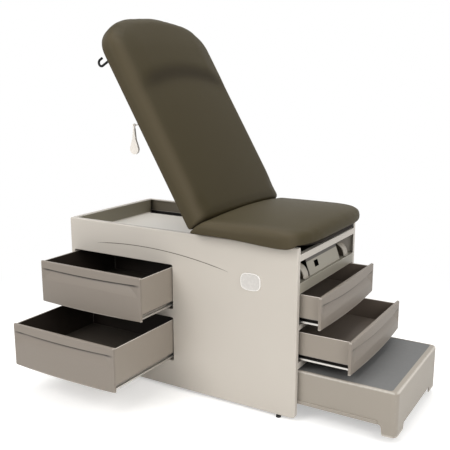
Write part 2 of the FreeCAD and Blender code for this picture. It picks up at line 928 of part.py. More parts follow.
def gas_spring_bracket():
    x0 = spring_start + spring_length
    half = spring_bracket_width / 2
    foot = block(x0, x0 + spring_bracket_length, -half, half, bay_floor_top, bay_floor_top + 2 * sheet)
    plate = block(x0, x0 + 2 * sheet, -half, half, bay_floor_top, spring_z + spring_radius)
    edges = edges_where(plate, lambda p: p.z > spring_z)
    cross = [edge for edge in edges if abs(edge.Vertexes[0].Point.x - edge.Vertexes[1].Point.x) > sheet]
    return join([foot, plate.makeFillet(spring_radius / 2, cross)])


def gas_spring_rod():
    eye_mid = Vector(spring_eye_x, 0, spring_z)
    half = spring_eye_depth / 2
    reach = slot_reach + spring_rod_radius
    eye = rounded_xz(eye_mid.x - spring_eye_half, eye_mid.x + spring_eye_half,
                     spring_z - reach, spring_z + reach, (spring_rod_radius,) * 4, -half, half)
    slot = rounded_xz(eye_mid.x - slot_half, eye_mid.x + slot_half,
                      spring_z - slot_reach, spring_z + slot_reach, (crank_pin_radius,) * 4, -half, half)
    tip = Vector(spring_start + spring_rod_inside, 0, spring_z)
    rod = bar(eye_mid + AXIS_X * (slot_half + spring_end_wall / 2), tip, spring_rod_radius)
    return join([eye.cut(slot), rod])


# Leg extension

pan_top = extension_front_bottom + extension_front_height - extension_pan_drop


def leg_extension_front():
    reach = inner_y - extension_front_gap
    x0 = half_length - extension_front_depth
    top = extension_front_bottom + extension_front_height
    outer = block(x0, half_length, -reach, reach, extension_front_bottom, top)
    face = edges_where(outer, lambda p: p.x > half_length - 0.01)
    long_edges = [edge for edge in face if edge.Length > reach]
    outer = outer.makeFillet(sheet, long_edges)
    inside = block(x0, half_length - sheet, -reach + sheet, reach - sheet,
                   extension_front_bottom + sheet, pan_top - 2 * sheet)
    return outer.cut(inside)


def leg_extension_pan():
    x1 = half_length - extension_front_depth
    reach = inner_y - extension_front_gap
    x0 = hinge_x + hinge_rail_gap + hinge_rail_width + extension_pan_gap
    return block(x0, x1, -reach, reach, pan_top - sheet, pan_top)


def leg_extension_guide():
    """Channel in the depth of the side panel that the pan's edge slides in."""
    x0 = hinge_x + hinge_rail_gap + hinge_rail_width
    x1 = half_length - extension_front_depth - rail_depth
    floor = pan_top - sheet - slide_gap
    inner = skin_y - guide_lip
    outline = [
        (-skin_y, floor - sheet),
        (-inner, floor - sheet),
        (-inner, floor),
        (-skin_y + sheet, floor),
        (-skin_y + sheet, floor + guide_mouth),
        (-inner, floor + guide_mouth),
        (-inner, floor + guide_mouth + sheet),
        (-skin_y, floor + guide_mouth + sheet),
    ]
    return prism_yz(outline, x0, x1)


# Stirrups, drawn on the near side

def square_tube(x0, x1, y, z, size, wall):
    half = size / 2
    outer = block(x0, x1, y - half, y + half, z - half, z + half)
    hole = half - wall
    return outer.cut(block(x0, x1, y - hole, y + hole, z - hole, z + hole))


def stirrup_sleeve():
    size = arm_size + 2 * (sleeve_gap + sleeve_wall)
    end = sleeve_start + sleeve_length
    tube = square_tube(sleeve_start, end, -stirrup_y, arm_z, size, sleeve_wall)
    pieces = [tube]
    for x in (sleeve_start + sleeve_foot_inset, end - sleeve_foot_inset - sleeve_foot_length):
        pieces.append(block(x, x + sleeve_foot_length, -stirrup_y - size / 2, -stirrup_y + size / 2,
                            bay_floor_top, arm_z - size / 2))
    return join(pieces)


def stirrup_arm():
    foot = cup_axis_x - cup_wall
    return square_tube(foot - arm_length, foot, -stirrup_y, arm_z, arm_size, arm_wall)


def heel_cup():
    """Quarter-round heel rest with a web at each end and a rolled toe along its lower edge."""
    axis_x = cup_axis_x
    axis_z = bay_floor_top + cup_lift
    y0 = -stirrup_y - cup_width / 2

    def quarter(radius, y, depth):
        centre = Vector(axis_x, y, axis_z)
        turned = Part.makeCylinder(radius, depth, centre, AXIS_Y)
        corner = block(axis_x, axis_x + radius, y, y + depth, axis_z, axis_z + radius)
        return turned.common(corner)

    shell = quarter(cup_radius, y0, cup_width).cut(quarter(cup_radius - cup_wall, y0, cup_width))
    pieces = [shell]
    for y in (y0, y0 + cup_width - cup_web):
        web = quarter(cup_radius, y, cup_web)
        hole = Vector(axis_x + cup_hole_place, y, axis_z + cup_hole_place)
        pieces.append(web.cut(Part.makeCylinder(cup_hole_radius, cup_web, hole, AXIS_Y)))
    toe_x = axis_x + cup_radius - cup_wall
    toe = block(toe_x, toe_x + cup_wall + cup_toe, y0, y0 + cup_width,
                axis_z - cup_wall, axis_z + cup_wall / 2)
    pieces.append(toe)
    back_plate = block(axis_x - cup_wall, axis_x, y0, y0 + cup_width, arm_z - arm_size, axis_z + cup_radius)
    pieces.append(back_plate)
    return join(pieces)


# Step

def step_body():
    """Hollow step, open below, whose sides and front are cut up to leave a leg at each front corner."""
    back = step_front_x - step_length
    rounds = (0, step_corner_radius, step_corner_radius, 0)
    body = rounded_xy(back, step_front_x, -step_half, step_half, rounds, step_leg_bottom, step_height)
    crest = edges_where(body, lambda p: p.z > step_height - 0.01)
    crest = [edge for edge in crest if edge.CenterOfMass.x > back + 1]
    body = body.makeFillet(step_top_radius, crest)
    inner = (0, step_corner_radius - step_wall, step_corner_radius - step_wall, 0)
    hollow = rounded_xy(back, step_front_x - step_wall, -step_half + step_wall, step_half - step_wall,
                        inner, 0, step_height - step_wall - tread_depth)
    body = body.cut(hollow)
    leg_back = step_front_x - step_leg_x
    side_cut = prism_xz([(back, 0), (leg_back + step_leg_slant, 0), (leg_back, step_side_bottom),
                         (back, step_side_bottom)], -step_half, step_half)
    corner = [edge for edge in edges_where(side_cut, lambda p: p.x > leg_back - 0.01 and p.z > 1)
              if edge.Length > step_half]
    body = body.cut(side_cut.makeFillet(step_cut_radius, corner))
    span = step_half - step_leg_y
    front_cut = prism_yz([(-span - step_leg_slant, 0), (span + step_leg_slant, 0), (span, step_front_bottom),
                          (-span, step_front_bottom)], leg_back, step_front_x)
    body = body.cut(front_cut)
    tread_space = tread_outline(0, step_height - tread_depth, step_height)
    bead = block(back, leg_back - step_cut_radius, -step_half - step_bead_proud, -step_half + step_wall,
                 step_side_bottom, step_side_bottom + step_bead_height)
    edges = edges_where(bead, lambda p: p.y < -step_half - step_bead_proud + 0.01)
    bead = bead.makeFillet(step_bead_radius, [edge for edge in edges if edge.Length > step_leg_x])
    return join([body.cut(tread_space), bead, mirrored(bead)])


def tread_outline(inset, z0, z1):
    back = step_front_x - step_length
    return rounded_xy(back + inset, step_front_x - tread_front_rim - inset, -step_half + tread_rim + inset,
                      step_half - tread_rim - inset, (0, tread_radius, tread_radius, 0), z0, z1)


def step_tread():
    return tread_outline(closed_gap, step_height - tread_depth, step_height - tread_drop)


def step_guide():
    back = step_front_x - step_length + step_guide_inset
    return block(back, back + step_guide_length, -step_half - step_guide_reach, -step_half,
                 step_guide_bottom + slide_gap, step_guide_bottom + step_guide_height - slide_gap)


def step_runner():
    """Channel in the depth of the side panel that carries the guide at the back of the step."""
    x0 = partition_x1
    x1 = half_length - 3 * sheet
    low = step_guide_bottom - step_runner_sheet
    high = step_guide_bottom + step_guide_height + step_runner_sheet
    outer = block(x0, x1, -skin_y, -inner_y, low, high)
    inside = block(x0, x1, -skin_y + step_runner_sheet, -inner_y,
                   step_guide_bottom, step_guide_bottom + step_guide_height)
    return outer.cut(inside)


# Fittings on the backrest

def paper_hook():
    """Hook of round wire: stem out of the back of the board, half turn towards the head, short tip."""
    x = hinge_x - hook_station
    base_z = back_flat_bottom - hook_plate
    low_z = back_flat_bottom - hook_stem - hook_bend
    tip_x = x - 2 * hook_bend
    plate = block(x - hook_plate_half, x + hook_plate_half, -hook_y - hook_plate_half / 2,
                  -hook_y + hook_plate_half / 2, base_z, back_flat_bottom)
    path = [
        Vector(x, -hook_y, base_z),
        Vector(x, -hook_y, low_z),
        Vector(tip_x, -hook_y, low_z),
        Vector(tip_x, -hook_y, low_z + hook_bend + hook_tip),
    ]
    return raised(join([plate, bent_rod(path, hook_wire, hook_bend)]))


def release_pivot():
    """Centre of the near pull's pivot, beside and behind the edge of the board."""
    start = raised(Part.Vertex(Vector(hinge_x - wire_station, 0, back_flat_bottom + wire_board_rise))).Point
    return Vector(start.x - wire_reach, -wire_y, start.z - wire_sink)


def release_wire():
    """Bent wire from the edge of the board to the pivot pin of the near pull."""
    start = raised(Part.Vertex(Vector(hinge_x - wire_station, 0, back_flat_bottom + wire_board_rise))).Point
    pivot = release_pivot()
    pin_y = pivot.y + pull_pin_half
    path = [
        Vector(start.x, -board_half_width, start.z),
        Vector(start.x, pin_y, start.z),
        Vector(pivot.x, pin_y, pivot.z),
        pivot - AXIS_Y * pull_pin_half,
    ]
    return bent_rod(path, wire_radius, wire_bend)


def release_pull():
    """Teardrop pull that hangs from the wire: eye, slim neck and flat rounded bulb."""
    pivot = release_pivot()
    half = pull_thickness / 2
    bulb_z = pivot.z - pull_length + pull_bulb_rise
    neck_end = pivot.z - pull_eye_radius * 2
    left = Vector(pivot.x - pull_bulb_half, pivot.y - half, bulb_z)
    right = Vector(pivot.x + pull_bulb_half, left.y, bulb_z)
    bottom = Vector(pivot.x, left.y, pivot.z - pull_length)
    neck_left = Vector(pivot.x - pull_neck_half, left.y, neck_end)
    neck_right = Vector(pivot.x + pull_neck_half, left.y, neck_end)
    waist_z = bulb_z + pull_bulb_rise
    swell_z = bulb_z + pull_swell_rise
    right_swell = Vector(pivot.x + pull_swell_half, left.y, swell_z)
    left_swell = Vector(pivot.x - pull_swell_half, left.y, swell_z)
    right_waist = Vector(pivot.x + pull_waist_half, left.y, waist_z)
    left_waist = Vector(pivot.x - pull_waist_half, left.y, waist_z)
    edges = [
        Part.Arc(left, bottom, right).toShape(),
        Part.Arc(right, right_swell, right_waist).toShape(),
        Part.LineSegment(right_waist, neck_right).toShape(),
        Part.LineSegment(neck_right, neck_left).toShape(),
        Part.LineSegment(neck_left, left_waist).toShape(),
        Part.Arc(left_waist, left_swell, left).toShape(),
    ]
    bulb = Part.Face(Part.Wire(edges)).extrude(Vector(0, pull_thickness, 0))
    eye_half = pull_neck_depth / 2
    eye = Part.makeCylinder(pull_eye_radius, pull_neck_depth, pivot - AXIS_Y * eye_half, AXIS_Y)
    neck = block(pivot.x - pull_neck_half, pivot.x + pull_neck_half, pivot.y - eye_half, pivot.y + eye_half,
                 neck_end, pivot.z)
    bore = Part.makeCylinder(wire_radius + pull_eye_gap, pull_neck_depth, pivot - AXIS_Y * eye_half, AXIS_Y)
    return join([bulb, eye, neck]).cut(bore)


def build():
    side_lower = opening_lower_bottom
    side_upper = opening_lower_bottom + opening_pitch
    side_box = drawer(side_front_width, side_front_height, side_front_width, side_drawer_depth,
                      side_rim_drop, side_lip_end, side_lip_mid)
    side_rails = drawer_rails(side_front_width, side_drawer_depth)
    front_box = drawer(front_drawer_width, front_drawer_height, front_box_width, front_drawer_depth,
                       front_rim_drop, front_lip_end, front_lip_mid)
    front_rails = drawer_rails(front_box_width, front_drawer_depth)
    near_cup = heel_cup()
    near_arm = stirrup_arm()
    near_sleeve = stirrup_sleeve()
    near_pull = release_pull()
    return {
        "near_side_panel": side_panel((side_lower, side_upper)),
        "far_side_panel": mirrored(side_panel(())),
        "head_end_panel": head_end_panel(),
        "top_deck": top_deck(),
        "mid_partition": mid_partition(),
        "base_pan": base_pan(),
        "hinge_rail": hinge_rail(),
        "drawer_mid_rail": cross_rail(mid_rail_bottom, mid_rail_height),
        "drawer_lower_rail": cross_rail(lower_rail_bottom, lower_rail_height),
        "stirrup_bay_tray": stirrup_bay_tray(),
        "bay_cover_plate": bay_cover_plate(),
        "bay_socket_blank": bay_socket_blank(),
        "levelling_feet": levelling_feet(),
        "side_drawer_runners": side_drawer_runners(),
        "front_drawer_runners": front_drawer_runners(),
        "step_runners": pair(step_runner()),
        "leg_extension_guides": pair(leg_extension_guide()),
        "near_stirrup_sleeve": near_sleeve,
        "far_stirrup_sleeve": mirrored(near_sleeve),
        "seat_board": seat_board(),
        "seat_pad": seat_pad(),
        "seat_hinge_leaves": pair(seat_hinge_leaf(-hinge_y)),
        "hinge_pins": pair(hinge_pin(-hinge_y)),
        "gas_spring_bracket": gas_spring_bracket(),
        "gas_spring_cylinder": gas_spring_cylinder(),
        "gas_spring_rod": gas_spring_rod(),
        "back_board": back_board(),
        "back_pad": back_pad(),
        "back_hinge_leaves": pair(back_hinge_leaf(-hinge_y)),
        "spring_crank": spring_crank(),
        "paper_hooks": pair(paper_hook()),
        "release_wires": pair(release_wire()),
        "near_release_pull": near_pull,
        "far_release_pull": mirrored(near_pull),
        "side_upper_drawer": at_side(side_box, side_bottoms[1], side_upper_out),
        "side_upper_slides": at_side(side_rails, side_bottoms[1], side_upper_out),
        "side_lower_drawer": at_side(side_box, side_bottoms[0], side_lower_out),
        "side_lower_slides": at_side(side_rails, side_bottoms[0], side_lower_out),
        "front_upper_drawer": at_foot(front_box, front_upper_bottom, front_upper_out),
        "front_upper_slides": at_foot(front_rails, front_upper_bottom, front_upper_out),
        "front_lower_drawer": at_foot(front_box, front_lower_bottom, front_lower_out),
        "front_lower_slides": at_foot(front_rails, front_lower_bottom, front_lower_out),
        "step_body": step_body(),
        "step_tread": step_tread(),
        "step_guides": pair(step_guide()),
        "leg_extension_front": leg_extension_front(),
        "leg_extension_pan": leg_extension_pan(),
        "near_stirrup_arm": near_arm,
        "near_heel_cup": near_cup,
        "far_stirrup_arm": mirrored(near_arm),
        "far_heel_cup": mirrored(near_cup),
    }


os.makedirs("parts", exist_ok=True)
for name, shape in build().items():
    shape.translate(-origin)
    shape.exportStep(os.path.join("parts", name + ".step"))
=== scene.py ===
import bpy
import bmesh
import json
import math
import numpy as np
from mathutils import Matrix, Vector


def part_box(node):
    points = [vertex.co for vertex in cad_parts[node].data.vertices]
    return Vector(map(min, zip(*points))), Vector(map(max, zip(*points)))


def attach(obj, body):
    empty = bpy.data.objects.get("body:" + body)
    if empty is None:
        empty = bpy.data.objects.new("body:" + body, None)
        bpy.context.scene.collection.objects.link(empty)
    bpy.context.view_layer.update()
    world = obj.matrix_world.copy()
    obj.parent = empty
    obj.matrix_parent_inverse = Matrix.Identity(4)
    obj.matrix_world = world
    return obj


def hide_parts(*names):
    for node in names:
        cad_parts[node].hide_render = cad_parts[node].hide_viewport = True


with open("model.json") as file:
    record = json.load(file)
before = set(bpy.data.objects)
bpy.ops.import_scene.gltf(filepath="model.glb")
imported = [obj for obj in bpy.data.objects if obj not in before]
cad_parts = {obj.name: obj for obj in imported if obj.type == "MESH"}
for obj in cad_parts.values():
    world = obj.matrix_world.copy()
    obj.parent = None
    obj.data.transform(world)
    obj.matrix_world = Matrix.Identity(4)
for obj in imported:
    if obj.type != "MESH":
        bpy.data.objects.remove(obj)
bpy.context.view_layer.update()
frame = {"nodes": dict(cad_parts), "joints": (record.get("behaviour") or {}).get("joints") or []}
print("frame loaded:", len(frame["nodes"]), "nodes")

# places read from the frame, in metres
nearLow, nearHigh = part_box("near_side_panel")
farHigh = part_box("far_side_panel")[1]
cabinetMid = np.array([(nearLow.x + nearHigh.x) / 2, (nearLow.y + farHigh.y) / 2, 0.0])
seatLow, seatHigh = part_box("seat_pad")
tiltJoint = next(joint for joint in frame["joints"] if joint["name"] == "backrest_tilt")
hinge = np.array(tiltJoint["pos_m"])
backTilt = math.radians(-tiltJoint["range_deg"][0])
alongBack = np.array([-math.cos(backTilt), 0.0, math.sin(backTilt)])  # from the hinge to the head
outOfBack = np.array([math.sin(backTilt), 0.0, math.cos(backTilt)])   # out of the padded face
acrossBack = np.array([0.0, 1.0, 0.0])
foldLook = {"x": 0.111, "slant": math.radians(48.0), "gap": 0.0009}   # plane where seat and back meet
foldX = cabinetMid[0] + foldLook["x"]


def paint(red, green, blue):
    # colour as seen on a screen, 0 to 255, turned into the linear values that shaders take
    screen = np.array([red, green, blue]) / 255.0
    linear = np.where(screen <= 0.04045, screen / 12.92, ((screen + 0.055) / 1.055) ** 2.4)
    return (*[float(part) for part in linear], 1.0)


def smoothRise(value):
    # 0 below 0, 1 above 1 and an even S between
    held = np.clip(value, 0.0, 1.0)
    return held * held * (3.0 - 2.0 * held)


def fullTurn(count):
    return np.linspace(0.0, 2 * math.pi, count, endpoint=False)


def ringQuads(rows, cols):
    # four corner numbers for each cell of a grid whose columns join up into a ring
    row = np.arange(rows - 1)[:, None] * cols
    col = np.arange(cols)[None, :]
    step = (col + 1) % cols
    return np.stack([row + col, row + step, row + cols + step, row + cols + col], -1).reshape(-1, 4)


def tubeFaces(rows, cols):
    # faces of a row of rings that is closed by one flat face at each end
    faces = ringQuads(rows, cols).tolist()
    faces.append(list(range(cols)))
    faces.append(list(range((rows - 1) * cols, rows * cols)))
    return faces


def meshPiece(name, points, faces, smooth=True):
    # new piece from an array of points and a list of faces, with its faces turned outwards
    mesh = bpy.data.meshes.new(name)
    mesh.from_pydata(np.asarray(points, float).reshape(-1, 3).tolist(), [], [list(face) for face in faces])
    work = bmesh.new()
    work.from_mesh(mesh)
    bmesh.ops.recalc_face_normals(work, faces=work.faces)
    work.to_mesh(mesh)
    work.free()
    mesh.polygons.foreach_set("use_smooth", np.full(len(mesh.polygons), smooth))
    mesh.update()
    piece = bpy.data.objects.new(name, mesh)
    bpy.context.scene.collection.objects.link(piece)
    return piece


def getPoints(mesh):
    flat = np.empty(len(mesh.vertices) * 3)
    mesh.vertices.foreach_get("co", flat)
    return flat.reshape(-1, 3)


def setPoints(mesh, points):
    mesh.vertices.foreach_set("co", np.ascontiguousarray(points).ravel())
    mesh.update()


# shader node groups shared by the finishes

def newGroup(name, inputs, outputs):
    # every group takes a position first
    group = bpy.data.node_groups.new(name, "ShaderNodeTree")
    for socketName, kind, value in [("Position", vectorKind, None), *inputs]:
        socket = group.interface.new_socket(socketName, in_out="INPUT", socket_type=kind)
        if value is not None:
            socket.default_value = value
    for socketName, kind in outputs:
        group.interface.new_socket(socketName, in_out="OUTPUT", socket_type=kind)
    entry = group.nodes.new("NodeGroupInput")
    leave = group.nodes.new("NodeGroupOutput")
    return group, entry.outputs, leave.inputs


def mathNode(tree, operation, first, second=None, clamp=False):
    node = tree.nodes.new("ShaderNodeMath")
    node.operation = operation
    node.use_clamp = clamp
    for socket, value in zip(node.inputs, (first, second)):
        if value is None:
            continue
        if isinstance(value, (int, float)):
            socket.default_value = value
        else:
            tree.links.new(value, socket)
    return node.outputs[0]


def vectorNode(tree, operation, first, second):
    node = tree.nodes.new("ShaderNodeVectorMath")
    node.operation = operation
    tree.links.new(first, node.inputs[0])
    tree.links.new(second, node.inputs["Scale"] if operation == "SCALE" else node.inputs[1])
    return node.outputs["Value" if operation == "DOT_PRODUCT" else "Vector"]


def noiseNode(tree, position, scale, detail, rough=0.5):
    node = tree.nodes.new("ShaderNodeTexNoise")
    node.inputs["Detail"].default_value = detail
    node.inputs["Roughness"].default_value = rough
    tree.links.new(position, node.inputs["Vector"])
    if isinstance(scale, (int, float)):
        node.inputs["Scale"].default_value = scale
    else:
        tree.links.new(scale, node.inputs["Scale"])
    return node.outputs["Fac"]


vectorKind, floatKind, colorKind = "NodeSocketVector", "NodeSocketFloat", "NodeSocketColor"
grainShape = {"coarseScale": 0.12, "fineShare": 0.65, "coarseShare": 0.35}
cellShape = {"bendScale": 260.0, "dome": 3.2, "domePower": 0.5}
chipShape = {"scale": 90.0, "detail": 4.0, "least": 0.5}
lipShape = {"frontSharp": 1000.0, "lead": 0.0006, "startSharp": 2000.0, "fallGain": 1.7, "endGain": 4.0}


def makeToneDrift():
    # colour times one plus a slow noise, so that a large face isn't one flat tone
    group, given, result = newGroup("toneDrift", [
        ("Color", colorKind, None), ("Drift", floatKind, 0.05), ("Scale", floatKind, 3.0)],
        [("Color", colorKind)])
    slow = noiseNode(group, given["Position"], given["Scale"], 3.0)
    swing = mathNode(group, "SUBTRACT", slow, 0.5)
    gain = mathNode(group, "ADD", mathNode(group, "MULTIPLY", swing, given["Drift"]), 1.0)
    group.links.new(vectorNode(group, "SCALE", given["Color"], gain), result["Color"])
    return group


def makeFineGrain():
    # height of a sprayed or moulded skin: fine noise over a coarser one
    group, given, result = newGroup("fineGrain", [("Scale", floatKind, 900.0)],
                                    [("Height", floatKind), ("Rough", floatKind)])
    fine = noiseNode(group, given["Position"], given["Scale"], 2.0)
    coarseScale = mathNode(group, "MULTIPLY", given["Scale"], grainShape["coarseScale"])
    coarse = noiseNode(group, given["Position"], coarseScale, 3.0)
    finePart = mathNode(group, "MULTIPLY", fine, grainShape["fineShare"])
    coarsePart = mathNode(group, "MULTIPLY", coarse, grainShape["coarseShare"])
    group.links.new(mathNode(group, "ADD", finePart, coarsePart), result["Height"])
    group.links.new(coarse, result["Rough"])
    return group


def makeVinylGrain():
    # pebbled cells of embossed vinyl: distance to the cell edges, on a position bent by noise
    group, given, result = newGroup("vinylGrain", [
        ("Scale", floatKind, 620.0), ("Bend", floatKind, 0.0006)],
        [("Height", floatKind), ("Valley", floatKind)])
    noise = group.nodes.new("ShaderNodeTexNoise")
    noise.inputs["Scale"].default_value = cellShape["bendScale"]
    group.links.new(given["Position"], noise.inputs["Vector"])
    shift = vectorNode(group, "SCALE", noise.outputs["Color"], given["Bend"])
    bent = vectorNode(group, "ADD", given["Position"], shift)
    cells = group.nodes.new("ShaderNodeTexVoronoi")
    cells.feature = "DISTANCE_TO_EDGE"
    group.links.new(bent, cells.inputs["Vector"])
    group.links.new(given["Scale"], cells.inputs["Scale"])
    dome = mathNode(group, "MULTIPLY", cells.outputs["Distance"], cellShape["dome"], clamp=True)
    group.links.new(mathNode(group, "POWER", dome, cellShape["domePower"]), result["Height"])
    group.links.new(mathNode(group, "SUBTRACT", 1.0, dome, clamp=True), result["Valley"])
    return group


def boxDepths(group, given):
    # distance of a point to the nearer side of a box on each axis
    toLow = vectorNode(group, "SUBTRACT", given["Position"], given["Low"])
    toHigh = vectorNode(group, "SUBTRACT", given["High"], given["Position"])
    parts = group.nodes.new("ShaderNodeSeparateXYZ")
    group.links.new(vectorNode(group, "MINIMUM", toLow, toHigh), parts.inputs[0])
    return parts.outputs


def makeEdgeWearHighlight():
    # rubbed edges with a painted highlight along them: the middle one of the three depths in a piece's box
    # is small along its edges
    group, given, result = newGroup("edgeWearHighlight", [
        ("Low", vectorKind, None), ("High", vectorKind, None), ("Width", floatKind, 0.004)],
        [("Mask", floatKind)])
    x, y, z = boxDepths(group, given)
    lesser = mathNode(group, "MINIMUM", x, y)
    greater = mathNode(group, "MAXIMUM", x, y)
    middle = mathNode(group, "MAXIMUM", lesser, mathNode(group, "MINIMUM", greater, z))
    chips = noiseNode(group, given["Position"], chipShape["scale"], chipShape["detail"])
    reach = mathNode(group, "MULTIPLY", given["Width"], mathNode(group, "ADD", chips, chipShape["least"]))
    near = mathNode(group, "DIVIDE", middle, reach)
    group.links.new(mathNode(group, "SUBTRACT", 1.0, near, clamp=True), result["Mask"])
    return group


def makeInsideBox():
    # 1 inside a box, falling to 0 over a short way at its sides
    group, given, result = newGroup("insideBox", [
        ("Low", vectorKind, None), ("High", vectorKind, None), ("Soft", floatKind, 0.001)],
        [("Mask", floatKind)])
    x, y, z = boxDepths(group, given)
    least = mathNode(group, "MINIMUM", mathNode(group, "MINIMUM", x, y), z)
    group.links.new(mathNode(group, "DIVIDE", least, given["Soft"], clamp=True), result["Mask"])
    return group


def makeLipShade():
    # painted shade under a drawer's lip: 1 just under the lip, which hangs along a parabola, falling to 0
    # over a short reach below it and at the lip's ends, and only on what lies further out than the back of
    # the front
    group, given, result = newGroup("lipShade", [
        ("Along", vectorKind, None), ("Middle", floatKind, 0.0), ("Half", floatKind, 0.3),
        ("LipEnd", floatKind, 0.0), ("LipMiddle", floatKind, 0.0), ("Reach", floatKind, 0.012),
        ("Out", vectorKind, None), ("Back", floatKind, 0.0)],
        [("Mask", floatKind)])
    along = vectorNode(group, "DOT_PRODUCT", given["Position"], given["Along"])
    outward = vectorNode(group, "DOT_PRODUCT", given["Position"], given["Out"])
    ahead = mathNode(group, "SUBTRACT", outward, given["Back"])
    onFront = mathNode(group, "MULTIPLY", ahead, lipShape["frontSharp"], clamp=True)
    parts = group.nodes.new("ShaderNodeSeparateXYZ")
    group.links.new(given["Position"], parts.inputs[0])
    share = mathNode(group, "DIVIDE", mathNode(group, "SUBTRACT", along, given["Middle"]), given["Half"])
    square = mathNode(group, "MULTIPLY", share, share)
    sag = mathNode(group, "SUBTRACT", given["LipEnd"], given["LipMiddle"])
    lipZ = mathNode(group, "ADD", given["LipMiddle"], mathNode(group, "MULTIPLY", square, sag))
    under = mathNode(group, "SUBTRACT", lipZ, parts.outputs["Z"])
    lead = mathNode(group, "ADD", under, lipShape["lead"])
    start = mathNode(group, "MULTIPLY", lead, lipShape["startSharp"], clamp=True)
    left = mathNode(group, "SUBTRACT", 1.0, mathNode(group, "DIVIDE", under, given["Reach"]), clamp=True)
    fall = mathNode(group, "MULTIPLY", left, lipShape["fallGain"], clamp=True)
    fromEnds = mathNode(group, "SUBTRACT", 1.0, square, clamp=True)
    middle = mathNode(group, "MULTIPLY", fromEnds, lipShape["endGain"], clamp=True)
    paintedLipShade = mathNode(group, "MULTIPLY", mathNode(group, "MULTIPLY", start, fall), middle)
    group.links.new(mathNode(group, "MULTIPLY", paintedLipShade, onFront), result["Mask"])
    return group


toneDrift = makeToneDrift()
fineGrain = makeFineGrain()
vinylGrain = makeVinylGrain()
edgeWearHighlight = makeEdgeWearHighlight()
insideBox = makeInsideBox()
lipShade = makeLipShade()


def placeGroup(tree, group, position, **values):
    node = tree.nodes.new("ShaderNodeGroup")
    node.node_tree = group
    tree.links.new(position, node.inputs["Position"])
    for socketName, value in values.items():
        if hasattr(value, "is_linked"):
            tree.links.new(value, node.inputs[socketName])
        else:
            node.inputs[socketName].default_value = value
    return node.outputs


def mixColor(tree, factor, first, second):
    node = tree.nodes.new("ShaderNodeMix")
    node.data_type = "RGBA"
    tree.links.new(factor, node.inputs["Factor"])
    colorInputs = [socket for socket in node.inputs if socket.type == "RGBA"]
    for socket, value in zip(colorInputs, (first, second)):
        if isinstance(value, tuple):
            socket.default_value = value
        else:
            tree.links.new(value, socket)
    return next(socket for socket in node.outputs if socket.type == "RGBA")


def addBump(tree, shader, height, depth):
    bump = tree.nodes.new("ShaderNodeBump")
    bump.inputs["Distance"].default_value = depth
    tree.links.new(height, bump.inputs["Height"])
    tree.links.new(bump.outputs["Normal"], shader.inputs["Normal"])


def addRoughness(tree, shader, value, low, high):
    spread = tree.nodes.new("ShaderNodeMapRange")
    spread.inputs["To Min"].default_value = low
    spread.inputs["To Max"].default_value = high
    tree.links.new(value, spread.inputs["Value"])
    tree.links.new(spread.outputs["Result"], shader.inputs["Roughness"])


def newMaterial(name):
    material = bpy.data.materials.new(name)
    material.use_nodes = True
    tree = material.node_tree
    coords = tree.nodes.new("ShaderNodeTexCoord")
    return material, tree, tree.nodes["Principled BSDF"], coords.outputs["Object"]


def drifted(tree, position, look, color):
    return placeGroup(tree, toneDrift, position, Color=color, Drift=look["drift"],
                      Scale=look["driftScale"])["Color"]


def tinted(tree, color, mask, look, mark):
    # mixes in the look's colour of that mark, by its share
    share = mathNode(tree, "MULTIPLY", mask, look[mark + "Share"])
    return mixColor(tree, share, color, look[mark + "Color"])


def coatedFinish(name, look, box=None, regions=(), lip=None):
    # painted or moulded skin: drifting colour, regions of painted shade and highlight, painted shade under
    # a lip, rubbed edges with a painted highlight, and grain
    material, tree, shader, position = newMaterial(name)
    color = drifted(tree, position, look, look["color"])
    for low, high, tint in regions:
        mask = placeGroup(tree, insideBox, position, Low=low, High=high, Soft=look["regionSoft"])["Mask"]
        color = mixColor(tree, mask, color, tint)
    if lip is not None:
        paintedLipShade = placeGroup(tree, lipShade, position, **lip)["Mask"]
        color = tinted(tree, color, paintedLipShade, look, "lip")
    if box is not None:
        wearAndHighlight = placeGroup(tree, edgeWearHighlight, position, Low=box[0], High=box[1], Width=look["edgeWidth"])
        color = tinted(tree, color, wearAndHighlight["Mask"], look, "edge")
    tree.links.new(color, shader.inputs["Base Color"])
    grain = placeGroup(tree, fineGrain, position, Scale=look["grainScale"])
    addRoughness(tree, shader, grain["Rough"], *look["roughness"])
    addBump(tree, shader, grain["Height"], look["grainDepth"])
    shader.inputs["Metallic"].default_value = look["metallic"]
    shader.inputs["Specular IOR Level"].default_value = look["specular"]
    return material


# edgeColor and edgeShare: paler rubbed edges, with a painted highlight along them
baseLook = {"drift": 0.06, "driftScale": 3.0, "regionSoft": 0.0012, "edgeWidth": 0.0035, "edgeMost": 0.1,
            "edgeShare": 0.5, "grainScale": 900.0, "grainDepth": 0.00006, "roughness": (0.34, 0.46),
            "metallic": 0.0, "specular": 0.5}
enamelLook = dict(baseLook, color=paint(194, 187, 177), edgeColor=paint(234, 229, 222), edgeWidth=0.006,
                  edgeShare=0.75)
paleLook = dict(baseLook, color=paint(236, 231, 222), edgeColor=paint(244, 241, 236))
# bay tray and cover plate: their own olive-grey, darkened as painted shade in the bay
bayShadeLook = dict(baseLook, color=paint(152, 146, 132), edgeColor=paint(196, 190, 178))
# leg extension pan: near black, as painted shade in the gap under the seat
panShadeLook = dict(baseLook, color=paint(30, 26, 22), edgeColor=paint(80, 74, 66), specular=0.1)
